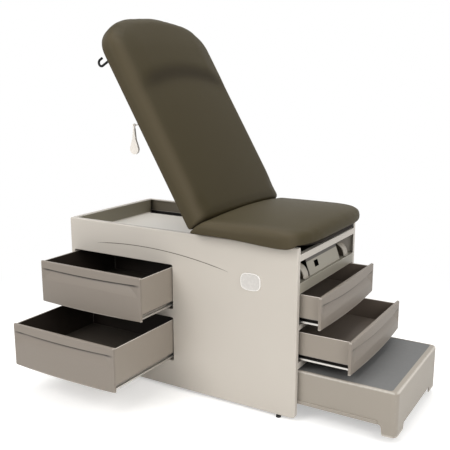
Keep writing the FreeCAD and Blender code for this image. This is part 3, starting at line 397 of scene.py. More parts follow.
# lipColor and lipShare: painted shade under a drawer's lip
drawerLook = dict(baseLook, color=paint(142, 133, 122), edgeColor=paint(190, 183, 173), grainScale=1400.0,
                  grainDepth=0.00009, roughness=(0.42, 0.55), edgeWidth=0.007, edgeShare=0.75,
                  lipColor=paint(26, 21, 17), lipShare=0.95)
stepLook = dict(drawerLook, color=paint(151, 143, 132), edgeColor=paint(222, 216, 207), edgeWidth=0.010)
zincLook = dict(baseLook, color=paint(196, 193, 188), edgeColor=paint(225, 223, 220), metallic=0.9,
                roughness=(0.26, 0.42), drift=0.14, driftScale=30.0)
socketLook = dict(baseLook, color=paint(5, 5, 5), edgeColor=paint(16, 16, 16), roughness=(0.6, 0.8),
                  specular=0.0)
blackLook = dict(baseLook, color=paint(13, 13, 13), edgeColor=paint(40, 38, 36), roughness=(0.42, 0.56),
                 specular=0.2)
boardLook = dict(baseLook, color=paint(32, 28, 24), edgeColor=paint(60, 52, 43), roughness=(0.6, 0.8),
                 specular=0.1, grainScale=500.0, drift=0.3, driftScale=25.0)
treadLook = dict(baseLook, color=paint(103, 103, 102), edgeColor=paint(128, 130, 130), drift=0.1,
                 roughness=(0.55, 0.72), grainScale=420.0, grainDepth=0.0003)
rubberLook = dict(baseLook, color=paint(34, 33, 32), edgeColor=paint(70, 68, 66), roughness=(0.6, 0.8))
cupLook = dict(baseLook, color=paint(166, 159, 147), edgeColor=paint(204, 198, 188), roughness=(0.36, 0.5))
pullLook = dict(baseLook, color=paint(222, 216, 208), edgeColor=paint(236, 232, 226), roughness=(0.28, 0.4))


def dress(look, *names, regions=None, lip=None):
    # gives CAD nodes a finish of their own, with rubbed edges and a painted highlight along them worked out
    # from each node's box
    for name in names:
        low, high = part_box(name)
        width = min(look["edgeWidth"], look["edgeMost"] * min(high - low))
        material = coatedFinish(name + "Finish", dict(look, edgeWidth=width), (low, high),
                                regions(name) if regions else (), lip(name) if lip else None)
        node = frame["nodes"][name]
        node.data.materials.clear()
        node.data.materials.append(material)


# side and foot colours: painted shade inside side and foot-end drawers; the rim colour is a painted
# highlight and the front colour painted shade
drawerInside = {"skin": 0.0012, "front": 0.022, "floor": 0.034, "side": paint(38, 31, 25),
                "foot": paint(104, 93, 83), "sideRim": 0.004, "footRim": 0.006, "footInset": 0.025,
                "rimBand": 0.0018, "rimHighlightColor": paint(214, 206, 196), "frontShadeColor": paint(131, 122, 112),
                "past": 0.01}
# color: painted shade over the upper part of each slide
slideLook = {"frontBright": 0.007, "sideBright": 0.013, "past": 0.01, "color": paint(26, 23, 20)}
lipLook = {"side": {"end": 0.032, "middle": 0.037}, "front": {"end": 0.030, "middle": 0.044},
           "reach": 0.012}
# upstand, far and slot: painted shade in the well, darkest behind the gap along the deck
wellLook = {"depth": 0.075, "upstand": paint(138, 132, 114), "upstandFoot": 0.004, "far": paint(92, 85, 72),
            "farTop": 0.010, "farEnd": 0.004, "skin": 0.0008, "slot": paint(14, 12, 10), "slotFoot": 0.3,
            "slotRise": 0.010, "past": 0.01}
wellFloor = nearHigh.z - wellLook["depth"]
# color: painted shadow along the cover plate's upper edge under the rail
plateShadowLook = {"dark": 0.013, "color": paint(66, 59, 51), "past": 0.02}


def drawerRegions(name):
    # painted shade inside a drawer's walls, a painted highlight along the top of its rim and painted shade
    # over its front
    low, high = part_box(name)
    look = drawerInside
    skin = look["skin"]
    pastX, pastY, pastZ = (Vector(row) * look["past"] for row in np.eye(3))
    if name.startswith("side"):
        rim, insideShade = high.z - look["sideRim"], look["side"]
        boxLow, boxHigh = Vector((low.x, low.y + look["front"], low.z)), Vector(high)
        rimLow, rimHigh = Vector(boxLow), boxHigh + pastX + pastY
        frontLow = low - pastX - pastY - pastZ
        frontHigh = Vector((high.x, low.y + look["front"], high.z)) + pastX + pastZ
    else:
        rim, insideShade = high.z - look["footRim"], look["foot"]
        boxLow = Vector((low.x, low.y + look["footInset"], low.z))
        boxHigh = Vector((high.x - look["front"], high.y - look["footInset"], high.z))
        rimLow, rimHigh = boxLow - pastY, boxHigh + pastY
        frontLow = Vector((high.x - look["front"], low.y, low.z)) - pastY - pastZ
        frontHigh = high + pastX + pastY + pastZ
    inLow = Vector((boxLow.x + skin, boxLow.y + skin, low.z + look["floor"]))
    inHigh = Vector((boxHigh.x - skin, boxHigh.y - skin, rim - look["rimBand"]))
    rimLow.z, rimHigh.z = rim - look["rimBand"], rim + look["rimBand"]
    return [(inLow, inHigh, insideShade), (rimLow, rimHigh, look["rimHighlightColor"]),
            (frontLow, frontHigh, look["frontShadeColor"])]


def drawerLip(name):
    # where a drawer's lip runs below the top of its front, and which way the front faces
    low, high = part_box(name)
    if name.startswith("side"):
        look, axis, along, out = lipLook["side"], 0, (1.0, 0.0, 0.0), (0.0, -1.0, 0.0)
        back = -low.y - drawerInside["front"]
    else:
        look, axis, along, out = lipLook["front"], 1, (0.0, 1.0, 0.0), (1.0, 0.0, 0.0)
        back = high.x - drawerInside["front"]
    return {"Along": along, "Middle": (low[axis] + high[axis]) / 2, "Half": (high[axis] - low[axis]) / 2,
            "LipEnd": high.z - look["end"], "LipMiddle": high.z - look["middle"],
            "Reach": lipLook["reach"], "Out": out, "Back": back}


def slideRegions(name):
    # painted shade over the upper part of a slide; only the lower part keeps the bright zinc
    low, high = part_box(name)
    bright = slideLook["sideBright" if name.startswith("side") else "frontBright"]
    past = Vector((slideLook["past"],) * 3)
    return [(low - past + Vector((0.0, 0.0, slideLook["past"] + bright)), high + past, slideLook["color"])]


def deckRegions(name):
    # painted shade on the deck's upstand, above the floor of the well
    low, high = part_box(name)
    past = Vector((wellLook["past"], wellLook["past"], 0.0))
    foot = Vector((low.x, low.y, wellFloor + wellLook["upstandFoot"]))
    return [(foot - past, high + past * 2, wellLook["upstand"])]


def farPanelRegions(name):
    # painted shade on the far panel's inner skin in the well, and darker painted shade behind the gap along
    # the deck
    low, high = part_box(name)
    look = wellLook
    x, y = low.x + look["farEnd"], low.y - look["past"]
    skin = high.y - look["skin"]
    slotTop = wellFloor + look["slotRise"]
    far = (Vector((x, y, slotTop)), Vector((foldX, skin, high.z - look["farTop"])), look["far"])
    slot = (Vector((x, y, low.z + look["slotFoot"])), Vector((foldX, skin, slotTop)), look["slot"])
    return [far, slot]


def plateRegions(name):
    # painted shadow along the plate's upper edge, under the rail
    low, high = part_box(name)
    past = plateShadowLook["past"]
    foot = Vector((low.x, low.y, high.z - plateShadowLook["dark"])) - Vector((past, past, 0.0))
    return [(foot, high + Vector((past, past, past)), plateShadowLook["color"])]


dress(enamelLook, "near_side_panel", "head_end_panel", "mid_partition", "base_pan", "drawer_mid_rail",
      "drawer_lower_rail", "leg_extension_front")
dress(enamelLook, "far_side_panel", regions=farPanelRegions)
dress(bayShadeLook, "stirrup_bay_tray")
dress(bayShadeLook, "bay_cover_plate", regions=plateRegions)
dress(panShadeLook, "leg_extension_pan")
dress(paleLook, "top_deck", regions=deckRegions)
dress(drawerLook, "side_upper_drawer", "side_lower_drawer", "front_upper_drawer", "front_lower_drawer",
      regions=drawerRegions, lip=drawerLip)
dress(stepLook, "step_body")
dress(zincLook, "hinge_rail", "side_drawer_runners", "front_drawer_runners", "step_runners",
      "leg_extension_guides", "near_stirrup_sleeve", "far_stirrup_sleeve", "seat_hinge_leaves",
      "hinge_pins", "gas_spring_bracket", "back_hinge_leaves", "near_stirrup_arm", "far_stirrup_arm",
      "gas_spring_rod")
dress(zincLook, "side_upper_slides", "side_lower_slides", "front_upper_slides", "front_lower_slides",
      regions=slideRegions)
dress(blackLook, "gas_spring_cylinder", "spring_crank", "paper_hooks", "step_guides")
dress(socketLook, "bay_socket_blank")
dress(boardLook, "seat_board", "back_board")
dress(treadLook, "step_tread")
dress(rubberLook, "levelling_feet")
dress(pullLook, "near_release_pull", "far_release_pull", "release_wires")
print("finishes on the CAD nodes done")


# upholstery

# the back's colour is the seat's vinyl darkened as painted shade; the shoulder colour is a painted
# highlight and the fold colour painted shade in the crease
vinylLook = {"seatColor": paint(69, 62, 44), "backShadeColor": paint(60, 53, 35),
             "valleyColor": paint(42, 37, 23), "valleyShare": 0.35, "foldColor": paint(30, 23, 12),
             "foldShare": 0.6, "shoulderHighlightColor": paint(79, 71, 55), "shoulderHighlightShare": 0.8, "scale": 620.0,
             "depth": 0.00010, "roughness": (0.46, 0.58), "drift": 0.08, "driftScale": 5.0,
             "specular": 0.09}


def vinylFinish(name, tone):
    # embossed vinyl: pebbled grain, darker valleys, slow tone drift, a painted highlight along the
    # shoulders and painted shade in the fold under the pillow
    material, tree, shader, position = newMaterial(name)
    color = drifted(tree, position, vinylLook, tone)
    grain = placeGroup(tree, vinylGrain, position, Scale=vinylLook["scale"])
    color = tinted(tree, color, grain["Valley"], vinylLook, "valley")
    for mark in ("shoulderHighlight", "fold"):
        mask = tree.nodes.new("ShaderNodeAttribute")
        mask.attribute_name = mark
        color = tinted(tree, color, mask.outputs["Fac"], vinylLook, mark)
    tree.links.new(color, shader.inputs["Base Color"])
    addRoughness(tree, shader, grain["Valley"], *vinylLook["roughness"])
    addBump(tree, shader, grain["Height"], vinylLook["depth"])
    shader.inputs["Specular IOR Level"].default_value = vinylLook["specular"]
    return material


seatVinyl = vinylFinish("seatVinyl", vinylLook["seatColor"])
# the back's copy of the vinyl, darker as painted shade
backShadedVinyl = vinylFinish("backShadedVinyl", vinylLook["backShadeColor"])

cushionLook = {"sideShare": 0.4, "footInset": 0.014, "foldRound": 0.012, "foldShrink": 0.8, "leanFade": 0.3,
               "shoulder": 0.072, "shoulderMost": 0.9, "startIn": 0.003, "voxel": 0.006, "even": 8,
               "pressure": 4.0, "quality": 4, "frames": 12, "cap": 0.005, "calm": 20, "smoothing": 0.5,
               "held": 0.004, "boardFade": 0.02, "foldFade": 0.03, "topFrom": 0.4, "fill": 0.8,
               "shoulderHighlightIn": 0.026, "shoulderHighlightWidth": 0.030}
cushionGrid = {"base": 24, "round": 12, "top": 25, "fold": 10, "middle": 40,
               "end": ((0.0, 70.0, 30), (72.0, 88.0, 16))}  # end: degrees from, to and rows
seatLook = {"height": 0.082, "crown": 0.020, "endIn": 0.024, "endDepth": 0.140, "endPower": 3.2,
            "endRound": 0.200, "topFade": 0.03, "pull": 0.003, "pullAt": (0.12, 0.31),
            "pullSize": (0.04, 0.035), "hang": 0.015, "boardHalf": 0.330, "hangFade": 0.035,
            "hangStart": 0.15, "hangGrow": 0.30, "hangHeight": 0.045}
backLook = {"bottom": 0.0105, "height": 0.103, "crown": 0.012, "length": 1.048, "endDepth": 0.180,
            "endPower": 2.2, "endRound": 0.070, "topFade": 0.04, "creaseMid": 0.688, "creaseBend": 0.50,
            "creaseDepth": 0.002, "creaseWidth": 0.070, "pillowRise": 0.012, "pillowRoll": 0.10,
            "pillowHalf": 0.215, "pillowFade": 0.17, "headFade": 0.20, "foldWidth": 0.038,
            "pull": 0.007, "pullAt": (0.085, 0.335), "pullSize": (0.05, 0.035)}
halfWidth = (seatHigh.y - seatLow.y) / 2


def cushionSurface(station, half, low, high, crown):
    # closed sections carried along a path: flat base, lower side and shoulder quarter ellipses, top a
    # parabola; rows follow the stations, columns run once round the section
    half, low, high, crown = (value[:, None] for value in (half, low, high, crown))
    drop = (high - low) * cushionLook["sideShare"]
    side = low + drop
    inset = np.minimum(cushionLook["footInset"], drop)
    rise = high - crown - side
    reach = np.minimum(cushionLook["shoulder"], cushionLook["shoulderMost"] * half)
    share = np.linspace(0.0, 1.0, cushionGrid["base"], endpoint=False)[None, :]
    turn = np.linspace(0.0, math.pi / 2, cushionGrid["round"], endpoint=False)[None, :]
    topShare = np.linspace(1.0, 0.0, cushionGrid["top"])[None, :]
    flat = half - reach
    y = np.concatenate([(half - inset) * share, half - inset + inset * np.sin(turn),
                        flat + reach * np.cos(turn), flat * topShare], 1)
    t = np.concatenate([low + 0.0 * share, side - drop * np.cos(turn), side + rise * np.sin(turn),
                        high - crown * topShare ** 2], 1)
    y = np.concatenate([y, -y[:, -2:0:-1]], 1)
    t = np.concatenate([t, t[:, -2:0:-1]], 1)
    s = np.broadcast_to(station[:, None], y.shape)
    return np.stack([s, y, t], -1)


def cushionPiece(name, look, length, bottom, foldStart, foldLean):
    # pad from the fold to its free end, an arch (superellipse) across the whole width; the fold end leans
    # with the plane where the pads meet
    inset = cushionLook["startIn"]
    foldRound = cushionLook["foldRound"]
    depth, power, endRound = look["endDepth"], look["endPower"], look["endRound"]
    height, crown = look["height"], look["crown"]
    foldPart = foldRound * (1.0 - np.cos(np.linspace(0.0, math.pi / 2, cushionGrid["fold"])))
    turn = np.radians(np.concatenate([np.linspace(*part) for part in cushionGrid["end"]]))
    endPart = length - inset - depth * (1.0 - np.sin(turn) ** (2.0 / power))
    middle = np.linspace(foldRound, length - inset - depth, cushionGrid["middle"])[1:-1]
    station = np.concatenate([foldPart, middle, endPart])
    fromFold = np.clip(1.0 - station / foldRound, 0.0, 1.0)
    shrink = foldRound * (1.0 - np.sqrt(1.0 - fromFold ** 2)) * cushionLook["foldShrink"]
    arch = np.concatenate([np.ones(len(foldPart) + len(middle)), np.cos(turn) ** (2.0 / power)])
    half = (halfWidth - inset) * arch - shrink
    swell = np.sqrt(1.0 - np.clip(1.0 - (length - station) / endRound, 0.0, 1.0) ** 2)
    lift = np.sqrt(1.0 - np.clip(1.0 - (length - station) / cushionLook["footInset"], 0.0, 1.0) ** 2)
    full = height - inset
    side = bottom + full * cushionLook["sideShare"]
    low = side - (side - bottom) * lift
    high = side + (full * (1.0 - cushionLook["sideShare"]) - shrink) * swell
    points = cushionSurface(station, half, low, high, crown * swell).copy()
    fade = np.clip(1.0 - station / cushionLook["leanFade"], 0.0, 1.0)[:, None]
    points[..., 0] += fade * (foldStart + foldLean * (points[..., 2] - bottom))
    return meshPiece(name, points, tubeFaces(*points.shape[:2]))


def addSmoothing(piece, passes):
    smooth = piece.modifiers.new("smooth", "SMOOTH")
    smooth.factor = cushionLook["smoothing"]
    smooth.iterations = passes


def remeshed(piece):
    # even skin of small squares over the same form
    skin = piece.modifiers.new("skin", "REMESH")
    skin.mode = "VOXEL"
    skin.voxel_size = cushionLook["voxel"]
    addSmoothing(piece, cushionLook["even"])
    graph = bpy.context.evaluated_depsgraph_get()
    mesh = bpy.data.meshes.new_from_object(piece.evaluated_get(graph))
    piece.modifiers.clear()
    piece.data = mesh
    mesh.polygons.foreach_set("use_smooth", np.ones(len(mesh.polygons), bool))


def swollen(piece, hold):
    # foam pressing the skin out: cloth under inner pressure, each point moving no further than the cap,
    # then smoothed
    before = getPoints(piece.data)
    scene = bpy.context.scene
    cloth = piece.modifiers.new("foam", "CLOTH")
    cloth.settings.use_pressure = True
    cloth.settings.uniform_pressure_force = cushionLook["pressure"]
    cloth.settings.effector_weights.gravity = 0.0
    cloth.settings.quality = cushionLook["quality"]
    cloth.point_cache.frame_start = 1
    cloth.point_cache.frame_end = cushionLook["frames"]
    for number in range(1, cushionLook["frames"] + 1):
        scene.frame_set(number)
    graph = bpy.context.evaluated_depsgraph_get()
    after = getPoints(piece.evaluated_get(graph).data)
    piece.modifiers.clear()
    scene.frame_set(1)
    move = after - before
    far = np.linalg.norm(move, axis=1, keepdims=True)
    move *= np.minimum(1.0, cushionLook["cap"] / np.maximum(far, 1e-9))
    setPoints(piece.data, before + move * hold(before)[:, None])
    addSmoothing(piece, cushionLook["calm"])
    graph = bpy.context.evaluated_depsgraph_get()
    smooth = getPoints(piece.evaluated_get(graph).data)
    piece.modifiers.clear()
    return smooth


def finishCushion(piece, points, fold, vinyl, body, node, origin, along, across, out):
    # local station, width and height turned into the frame, then declared; fold is 1 deep in a crease,
    # where shade is painted, and the shoulder mask is 1 along a line on each shoulder, where a highlight is
    # painted
    fromLine = (halfWidth - cushionLook["shoulderHighlightIn"] - np.abs(points[:, 1])) / cushionLook["shoulderHighlightWidth"]
    shoulderHighlight = np.exp(-fromLine ** 2)
    for name, share in (("fold", fold), ("shoulderHighlight", shoulderHighlight)):
        piece.data.attributes.new(name, "FLOAT", "POINT").data.foreach_set("value", share)
    world = origin + points[:, :1] * along + points[:, 1:2] * across + points[:, 2:] * out
    setPoints(piece.data, world)
    turned = np.dot(np.cross(along, across), out)
    if turned < 0:
        piece.data.flip_normals()
    piece.data.materials.clear()
    piece.data.materials.append(vinyl)
    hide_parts(node)
    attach(piece, body)


def holdOff(bottom, foldStart, foldLean):
    # 0 on the board and at the fold, 1 on the free skin
    def share(points):
        up = points[:, 2] - bottom
        fromBoard = smoothRise((up - cushionLook["held"]) / cushionLook["boardFade"])
        fromFold = points[:, 0] - (foldStart + foldLean * up)
        return fromBoard * smoothRise((fromFold - cushionLook["held"]) / cushionLook["foldFade"])
    return share


def pulledIn(points, look):
    # a bell-shaped dimple near the fold on either side of a pad
    along = (points[:, 0] - look["pullAt"][0]) / look["pullSize"][0]
    across = (np.abs(points[:, 1]) - look["pullAt"][1]) / look["pullSize"][1]
    return look["pull"] * np.exp(-along ** 2 - across ** 2)


def makeSeatCushion():
    # level pad with a dimple at each end of the fold, its sides hanging lower beside the board
    look = seatLook
    bottom = 0.0
    start = foldLook["gap"] / math.cos(foldLook["slant"])
    lean = math.tan(foldLook["slant"])
    length = seatHigh.x - foldX - look["endIn"]
    piece = cushionPiece("seatCushion", look, length, bottom, start, lean)
    remeshed(piece)
    points = swollen(piece, holdOff(bottom, start, lean))
    s, y, t = points.T
    top = smoothRise((t - look["height"] * cushionLook["topFrom"]) / look["topFade"])
    t -= pulledIn(points, look) * top
    besideBoard = smoothRise((np.abs(y) - look["boardHalf"]) / look["hangFade"])
    besideBoard *= smoothRise((s - look["hangStart"]) / look["hangGrow"])
    t -= look["hang"] * besideBoard * (1.0 - smoothRise(t / look["hangHeight"]))
    origin = np.array([foldX, cabinetMid[1], seatLow.z])
    finishCushion(piece, points, np.zeros(len(points)), seatVinyl, "cabinet", "seat_pad", origin,
                  np.array([1.0, 0.0, 0.0]), acrossBack, np.array([0.0, 0.0, 1.0]))


def makeBackCushion():
    # leaning pad with a pillow: a rise along an arched line with a faint hollow before it, fading out to
    # the sides and the head
    look = backLook
    bottom = look["bottom"]
    slant = foldLook["slant"]
    normal = np.array([-math.cos(slant), 0.0, math.sin(slant)])  # of the fold, from the seat to the back
    foldPoint = np.array([foldX, cabinetMid[1], seatLow.z])
    offset = np.dot(normal, foldPoint - hinge) + foldLook["gap"]
    perStation = np.dot(normal, alongBack)
    perHeight = np.dot(normal, outOfBack)
    lean = -perHeight / perStation
    start = offset / perStation + lean * bottom
    piece = cushionPiece("backCushion", look, look["length"], bottom, start, lean)
    remeshed(piece)
    points = swollen(piece, holdOff(bottom, start, lean))
    s, y, t = points.T
    top = smoothRise((t - bottom - look["height"] * cushionLook["topFrom"]) / look["topFade"])
    past = s - (look["creaseMid"] - look["creaseBend"] * y ** 2)
    within = 1.0 - smoothRise((np.abs(y) - look["pillowHalf"]) / look["pillowFade"])
    fade = smoothRise((look["length"] - s) / look["headFade"])
    relief = look["pillowRise"] * smoothRise(past / look["pillowRoll"]) * fade * within
    relief -= look["creaseDepth"] * within * np.exp(-(past / look["creaseWidth"]) ** 2)
    # fold: where painted shade darkens the crease under the pillow
    fold = within * top * np.exp(-((past - look["foldWidth"]) / look["foldWidth"]) ** 2)
    relief -= pulledIn(points, look)
    t += relief * top
    origin = np.array([hinge[0], cabinetMid[1], hinge[2]])
    finishCushion(piece, points, fold, backShadedVinyl, "backrest", "back_pad", origin, alongBack, acrossBack,
                  outOfBack)


makeSeatCushion()
makeBackCushion()
print("cushions done")


# trim on the near panel

stripeLook = {"start": -0.440, "end": 0.285, "crestX": -0.150, "crestZ": 0.661, "bend": 0.235,
              "lean": -0.02, "halfHeight": 0.0016, "taper": 0.08, "tip": 0.15, "proud": 0.0004,
              "sunk": 0.0002, "points": 90, "color": paint(96, 90, 82)}
badgeLook = {"x": 0.395, "z": 0.581, "halfLength": 0.048, "halfHeight": 0.038, "power": 3.1,
             "proud": 0.0050, "around": 96, "color": paint(238, 235, 230), "face": paint(202, 198, 193),
             "faceRing": 4, "roughness": (0.22, 0.32),
             "share": (1.0, 1.0, 0.985, 0.95, 0.92, 0.895, 0.87, 0.6, 0.3, 0.02),
             "height": (-0.05, 0.55, 0.86, 1.0, 0.94, 0.72, 0.66, 0.62, 0.60, 0.60)}


def makeStripe():
    # ribbon along a parabola with a slight lean, thinner towards its ends, just proud of the panel's face
    look = stripeLook
    x = np.linspace(look["start"], look["end"], look["points"])
    away = x - look["crestX"]
    z = look["crestZ"] - look["bend"] * away ** 2 + look["lean"] * away
    fromEnd = np.minimum(x - look["start"], look["end"] - x)
    half = look["halfHeight"] * np.minimum(1.0, fromEnd / look["taper"] + look["tip"])
    face = nearLow.y - look["proud"]
    rows = np.stack([np.stack([x, np.full_like(x, face), z + side * half], -1) for side in (-1, 1)], 0)
    back = rows.copy()
    back[..., 1] = nearLow.y + look["sunk"]
    ring = np.stack([rows[0], rows[1], back[1], back[0]], 1)
    ring[..., 0] += cabinetMid[0]
    piece = meshPiece("panelStripe", ring, tubeFaces(*ring.shape[:2]), smooth=False)
    piece.data.materials.append(coatedFinish("stripePaint", dict(baseLook, color=look["color"])))
    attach(piece, "cabinet")


def makeBadge():
    # bare plate: superellipse rings stepping in from the panel, over a rounded rim, to a slightly dished
    # face
    look = badgeLook
    angle = fullTurn(look["around"])
    power = 2.0 / look["power"]
    across = np.sign(np.cos(angle)) * np.abs(np.cos(angle)) ** power
    upward = np.sign(np.sin(angle)) * np.abs(np.sin(angle)) ** power
    share = np.array(look["share"])
    height = np.array(look["height"]) * look["proud"]
    x = cabinetMid[0] + look["x"] + look["halfLength"] * share[:, None] * across
    z = look["z"] + look["halfHeight"] * share[:, None] * upward
    y = np.broadcast_to(nearLow.y - height[:, None], x.shape)
    points = np.stack([x, y, z], -1)
    piece = meshPiece("badgePlate", points, tubeFaces(*points.shape[:2]))
    plastic = dict(baseLook, color=look["color"], roughness=look["roughness"])
    piece.data.materials.append(coatedFinish("badgePlastic", plastic))
    piece.data.materials.append(coatedFinish("badgeFace", dict(plastic, color=look["face"])))
    rings = np.repeat(np.arange(len(share) - 1), len(angle))
    slots = np.append((rings >= look["faceRing"]).astype(int), [0, 1])
    piece.data.polygons.foreach_set("material_index", slots)
    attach(piece, "cabinet")


makeStripe()
makeBadge()
print("panel trim done")


# heel rests of the stirrups

heelLook = {"half": 0.022, "inward": 0.006, "radius": 0.058, "wall": 0.004, "toe": 0.0015, "edge": 0.0007,
            "arcPoints": 28, "web": 0.0026, "webIn": 0.0012, "hole": 0.008, "holeAt": 0.024, "rays": 120,
            "webColor": paint(60, 53, 45), "webSpecular": 0.2}


def makeHeelStrap(side, y0, y1, axisX, axisZ):
    # band carried straight across: its outline goes up the back plate, round a quarter circle and out along
    # the toe
    look = heelLook
    low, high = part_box(side + "_heel_cup")
    turn = np.linspace(math.pi / 2, 0.0, look["arcPoints"])
    inner = look["radius"] - look["wall"]
    outerX = np.concatenate([[low.x, low.x], axisX + look["radius"] * np.cos(turn), [high.x]])
    outerZ = np.concatenate([[low.z, high.z], axisZ + look["radius"] * np.sin(turn), [axisZ + look["toe"]]])
    innerX = np.concatenate([[axisX, axisX], axisX + inner * np.cos(turn), [high.x]])
    innerZ = np.concatenate([[low.z, high.z - 2 * look["wall"]], axisZ + inner * np.sin(turn),
                             [axisZ - look["toe"]]])
    count = len(outerX)
    x = np.concatenate([outerX, innerX[::-1]])
    z = np.concatenate([outerZ, innerZ[::-1]])
    points = np.stack([np.stack([x, np.full_like(x, y), z], -1) for y in (y0, y1)])
    first = np.arange(count - 1)
    cap = np.stack([first, first + 1, 2 * count - 2 - first, 2 * count - 1 - first], -1)
    faces = np.concatenate([ringQuads(2, 2 * count), cap, cap + 2 * count]).tolist()
    piece = meshPiece(side + "HeelRest", points, faces, smooth=False)
    bevel = piece.modifiers.new("edge", "BEVEL")
    bevel.width = look["edge"]
    bevel.segments = 2
    bevel.limit_method = "ANGLE"
    box = (Vector((low.x, y0, low.z)), Vector((high.x, y1, high.z)))
    piece.data.materials.append(coatedFinish(side + "HeelRestPlastic", cupLook, box))
    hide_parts(side + "_heel_cup")
    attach(piece, side + "_stirrup")


def makeHeelWebs(side, y0, y1, axisX, axisZ):
    # plates that fill the quarter circle: rays from the rim of a round hole out to its two straight sides
    # and its arc
    look = heelLook
    angle = fullTurn(look["rays"])
    dx, dz = np.cos(angle), np.sin(angle)
    at = look["holeAt"]
    toward = at * (dx + dz)
    toArc = -toward + np.sqrt(toward ** 2 - 2 * at ** 2 + (look["radius"] - look["wall"]) ** 2)
    toSide = at / np.maximum(np.maximum(-dx, -dz), 1e-6)
    reach = np.minimum(toArc, toSide)
    points, faces = [], []
    for number, y in enumerate((y0 + look["webIn"], y1 - look["webIn"] - look["web"])):
        rims = (reach, look["hole"], look["hole"], reach)
        for far, depth in zip(rims, (0.0, 0.0, look["web"], look["web"])):
            x, z = axisX + at + far * dx, axisZ + at + far * dz
            points.append(np.stack([x, np.full_like(dx, y + depth), z], -1))
        ring = ringQuads(4, len(angle))
        start = np.arange(len(angle))
        after = (start + 1) % len(angle)
        last = 3 * len(angle)
        close = np.stack([last + start, last + after, after, start], -1)
        faces.append(np.concatenate([ring, close]) + 4 * len(angle) * number)
    faces = np.concatenate(faces).tolist()
    piece = meshPiece(side + "HeelWebs", np.concatenate(points), faces, smooth=False)
    plastic = dict(cupLook, color=look["webColor"], specular=look["webSpecular"])
    piece.data.materials.append(coatedFinish(side + "HeelWebPlastic", plastic))
    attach(piece, side + "_stirrup")


for side in ("near", "far"):
    cupLow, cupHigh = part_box(side + "_heel_cup")
    inward = heelLook["inward"] if side == "near" else -heelLook["inward"]
    middle = (cupLow.y + cupHigh.y) / 2 + inward
    place = (middle - heelLook["half"], middle + heelLook["half"], cupLow.x + heelLook["wall"],
             cupHigh.z - heelLook["radius"])
    makeHeelStrap(side, *place)
    makeHeelWebs(side, *place)
print("heel rests done")


# screws under the backrest board

screwLook = {"radius": 0.0055, "height": 0.0026, "stations": (0.09, 0.32, 0.56, 0.80), "y": 0.262,
             "boardBack": -0.0045, "around": 20, "radii": (1.0, 1.0, 0.86, 0.55, 0.24, 0.18, 0.02),
             "heights": (-0.1, 0.35, 0.78, 0.98, 1.0, 0.55, 0.5)}


def makeScrews():
    # one revolved pan head, carried to each place on the board's back
    look = screwLook
    rows, cols = len(look["radii"]), look["around"]
    angle = fullTurn(cols)
    radius = np.array(look["radii"]) * look["radius"]
    height = np.array(look["heights"]) * look["height"]
    head = np.stack([radius[:, None] * np.cos(angle), radius[:, None] * np.sin(angle),
                     np.broadcast_to(height[:, None], (rows, cols))], -1).reshape(-1, 3)
    quads = tubeFaces(rows, cols)
    places = [(station, side * look["y"]) for station in look["stations"] for side in (-1, 1)]
    points, faces = [], []
    for number, (station, y) in enumerate(places):
        centre = hinge + alongBack * station + outOfBack * look["boardBack"]
        points.append(centre + np.array([0, y, 0]) + head[:, :1] * alongBack + head[:, 1:2] * acrossBack
                      - head[:, 2:] * outOfBack)
        faces += [[corner + number * len(head) for corner in face] for face in quads]
    piece = meshPiece("boardScrews", np.concatenate(points), faces)
    piece.data.materials.append(coatedFinish("screwZinc", zincLook))
    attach(piece, "backrest")


makeScrews()
print("screws done")


# camera, light and floor

cameraLook = {"place": (1.7199, -2.7281, 1.4109), "turn": math.radians(31.05), "drop": math.radians(12.06),
              "lens": 54.74, "sensor": 36.0}
lampLook = {
    "keyLamp": {"place": (-1.2, -3.6, 3.0), "aim": (0.1, 0.0, 0.6), "size": 2.6, "watts": 96.0},
    "fillLamp": {"place": (3.4, -1.6, 2.2), "aim": (0.3, 0.0, 0.6), "size": 2.4, "watts": 58.0},
    "topLamp": {"place": (0.3, 0.4, 4.2), "aim": (0.1, 0.0, 0.5), "size": 3.0, "watts": 82.0},
}
skyLook = {"ambient": 0.45, "background": 1.0}
floorLook = {"radius": 9.0, "sides": 64, "color": paint(236, 235, 233), "drift": 0.01, "driftScale": 1.0,
             "roughness": 0.9, "glow": 0.42, "shadowReach": 1.1, "whiteReach": 2.4}


def makeCamera():
    look = cameraLook
    data = bpy.data.cameras.new("photoCamera")
    data.lens = look["lens"]
    data.sensor_width = look["sensor"]
    camera = bpy.data.objects.new("photoCamera", data)
    camera.location = Vector(cabinetMid) + Vector(look["place"])
    back = Vector((math.sin(look["turn"]) * math.cos(look["drop"]),
                   -math.cos(look["turn"]) * math.cos(look["drop"]), math.sin(look["drop"])))
    camera.rotation_euler = back.to_track_quat("Z", "Y").to_euler()
    bpy.context.scene.collection.objects.link(camera)
    bpy.context.scene.camera = camera


def makeLamps():
    for name, look in lampLook.items():
        data = bpy.data.lights.new(name, "AREA")
        data.shape = "DISK"
        data.size = look["size"]
        data.energy = look["watts"]
        lamp = bpy.data.objects.new(name, data)
        lamp.location = Vector(cabinetMid) + Vector(look["place"])
        aim = Vector(cabinetMid) + Vector(look["aim"])
        lamp.rotation_euler = (lamp.location - aim).to_track_quat("Z", "Y").to_euler()
        bpy.context.scene.collection.objects.link(lamp)


def seenDirectly(tree):
    # 1 for rays from the camera and for mirror or glass rays
    path = tree.nodes.new("ShaderNodeLightPath")
    seen = mathNode(tree, "MAXIMUM", path.outputs["Is Camera Ray"], path.outputs["Is Glossy Ray"])
    return mathNode(tree, "MAXIMUM", seen, path.outputs["Is Transmission Ray"])


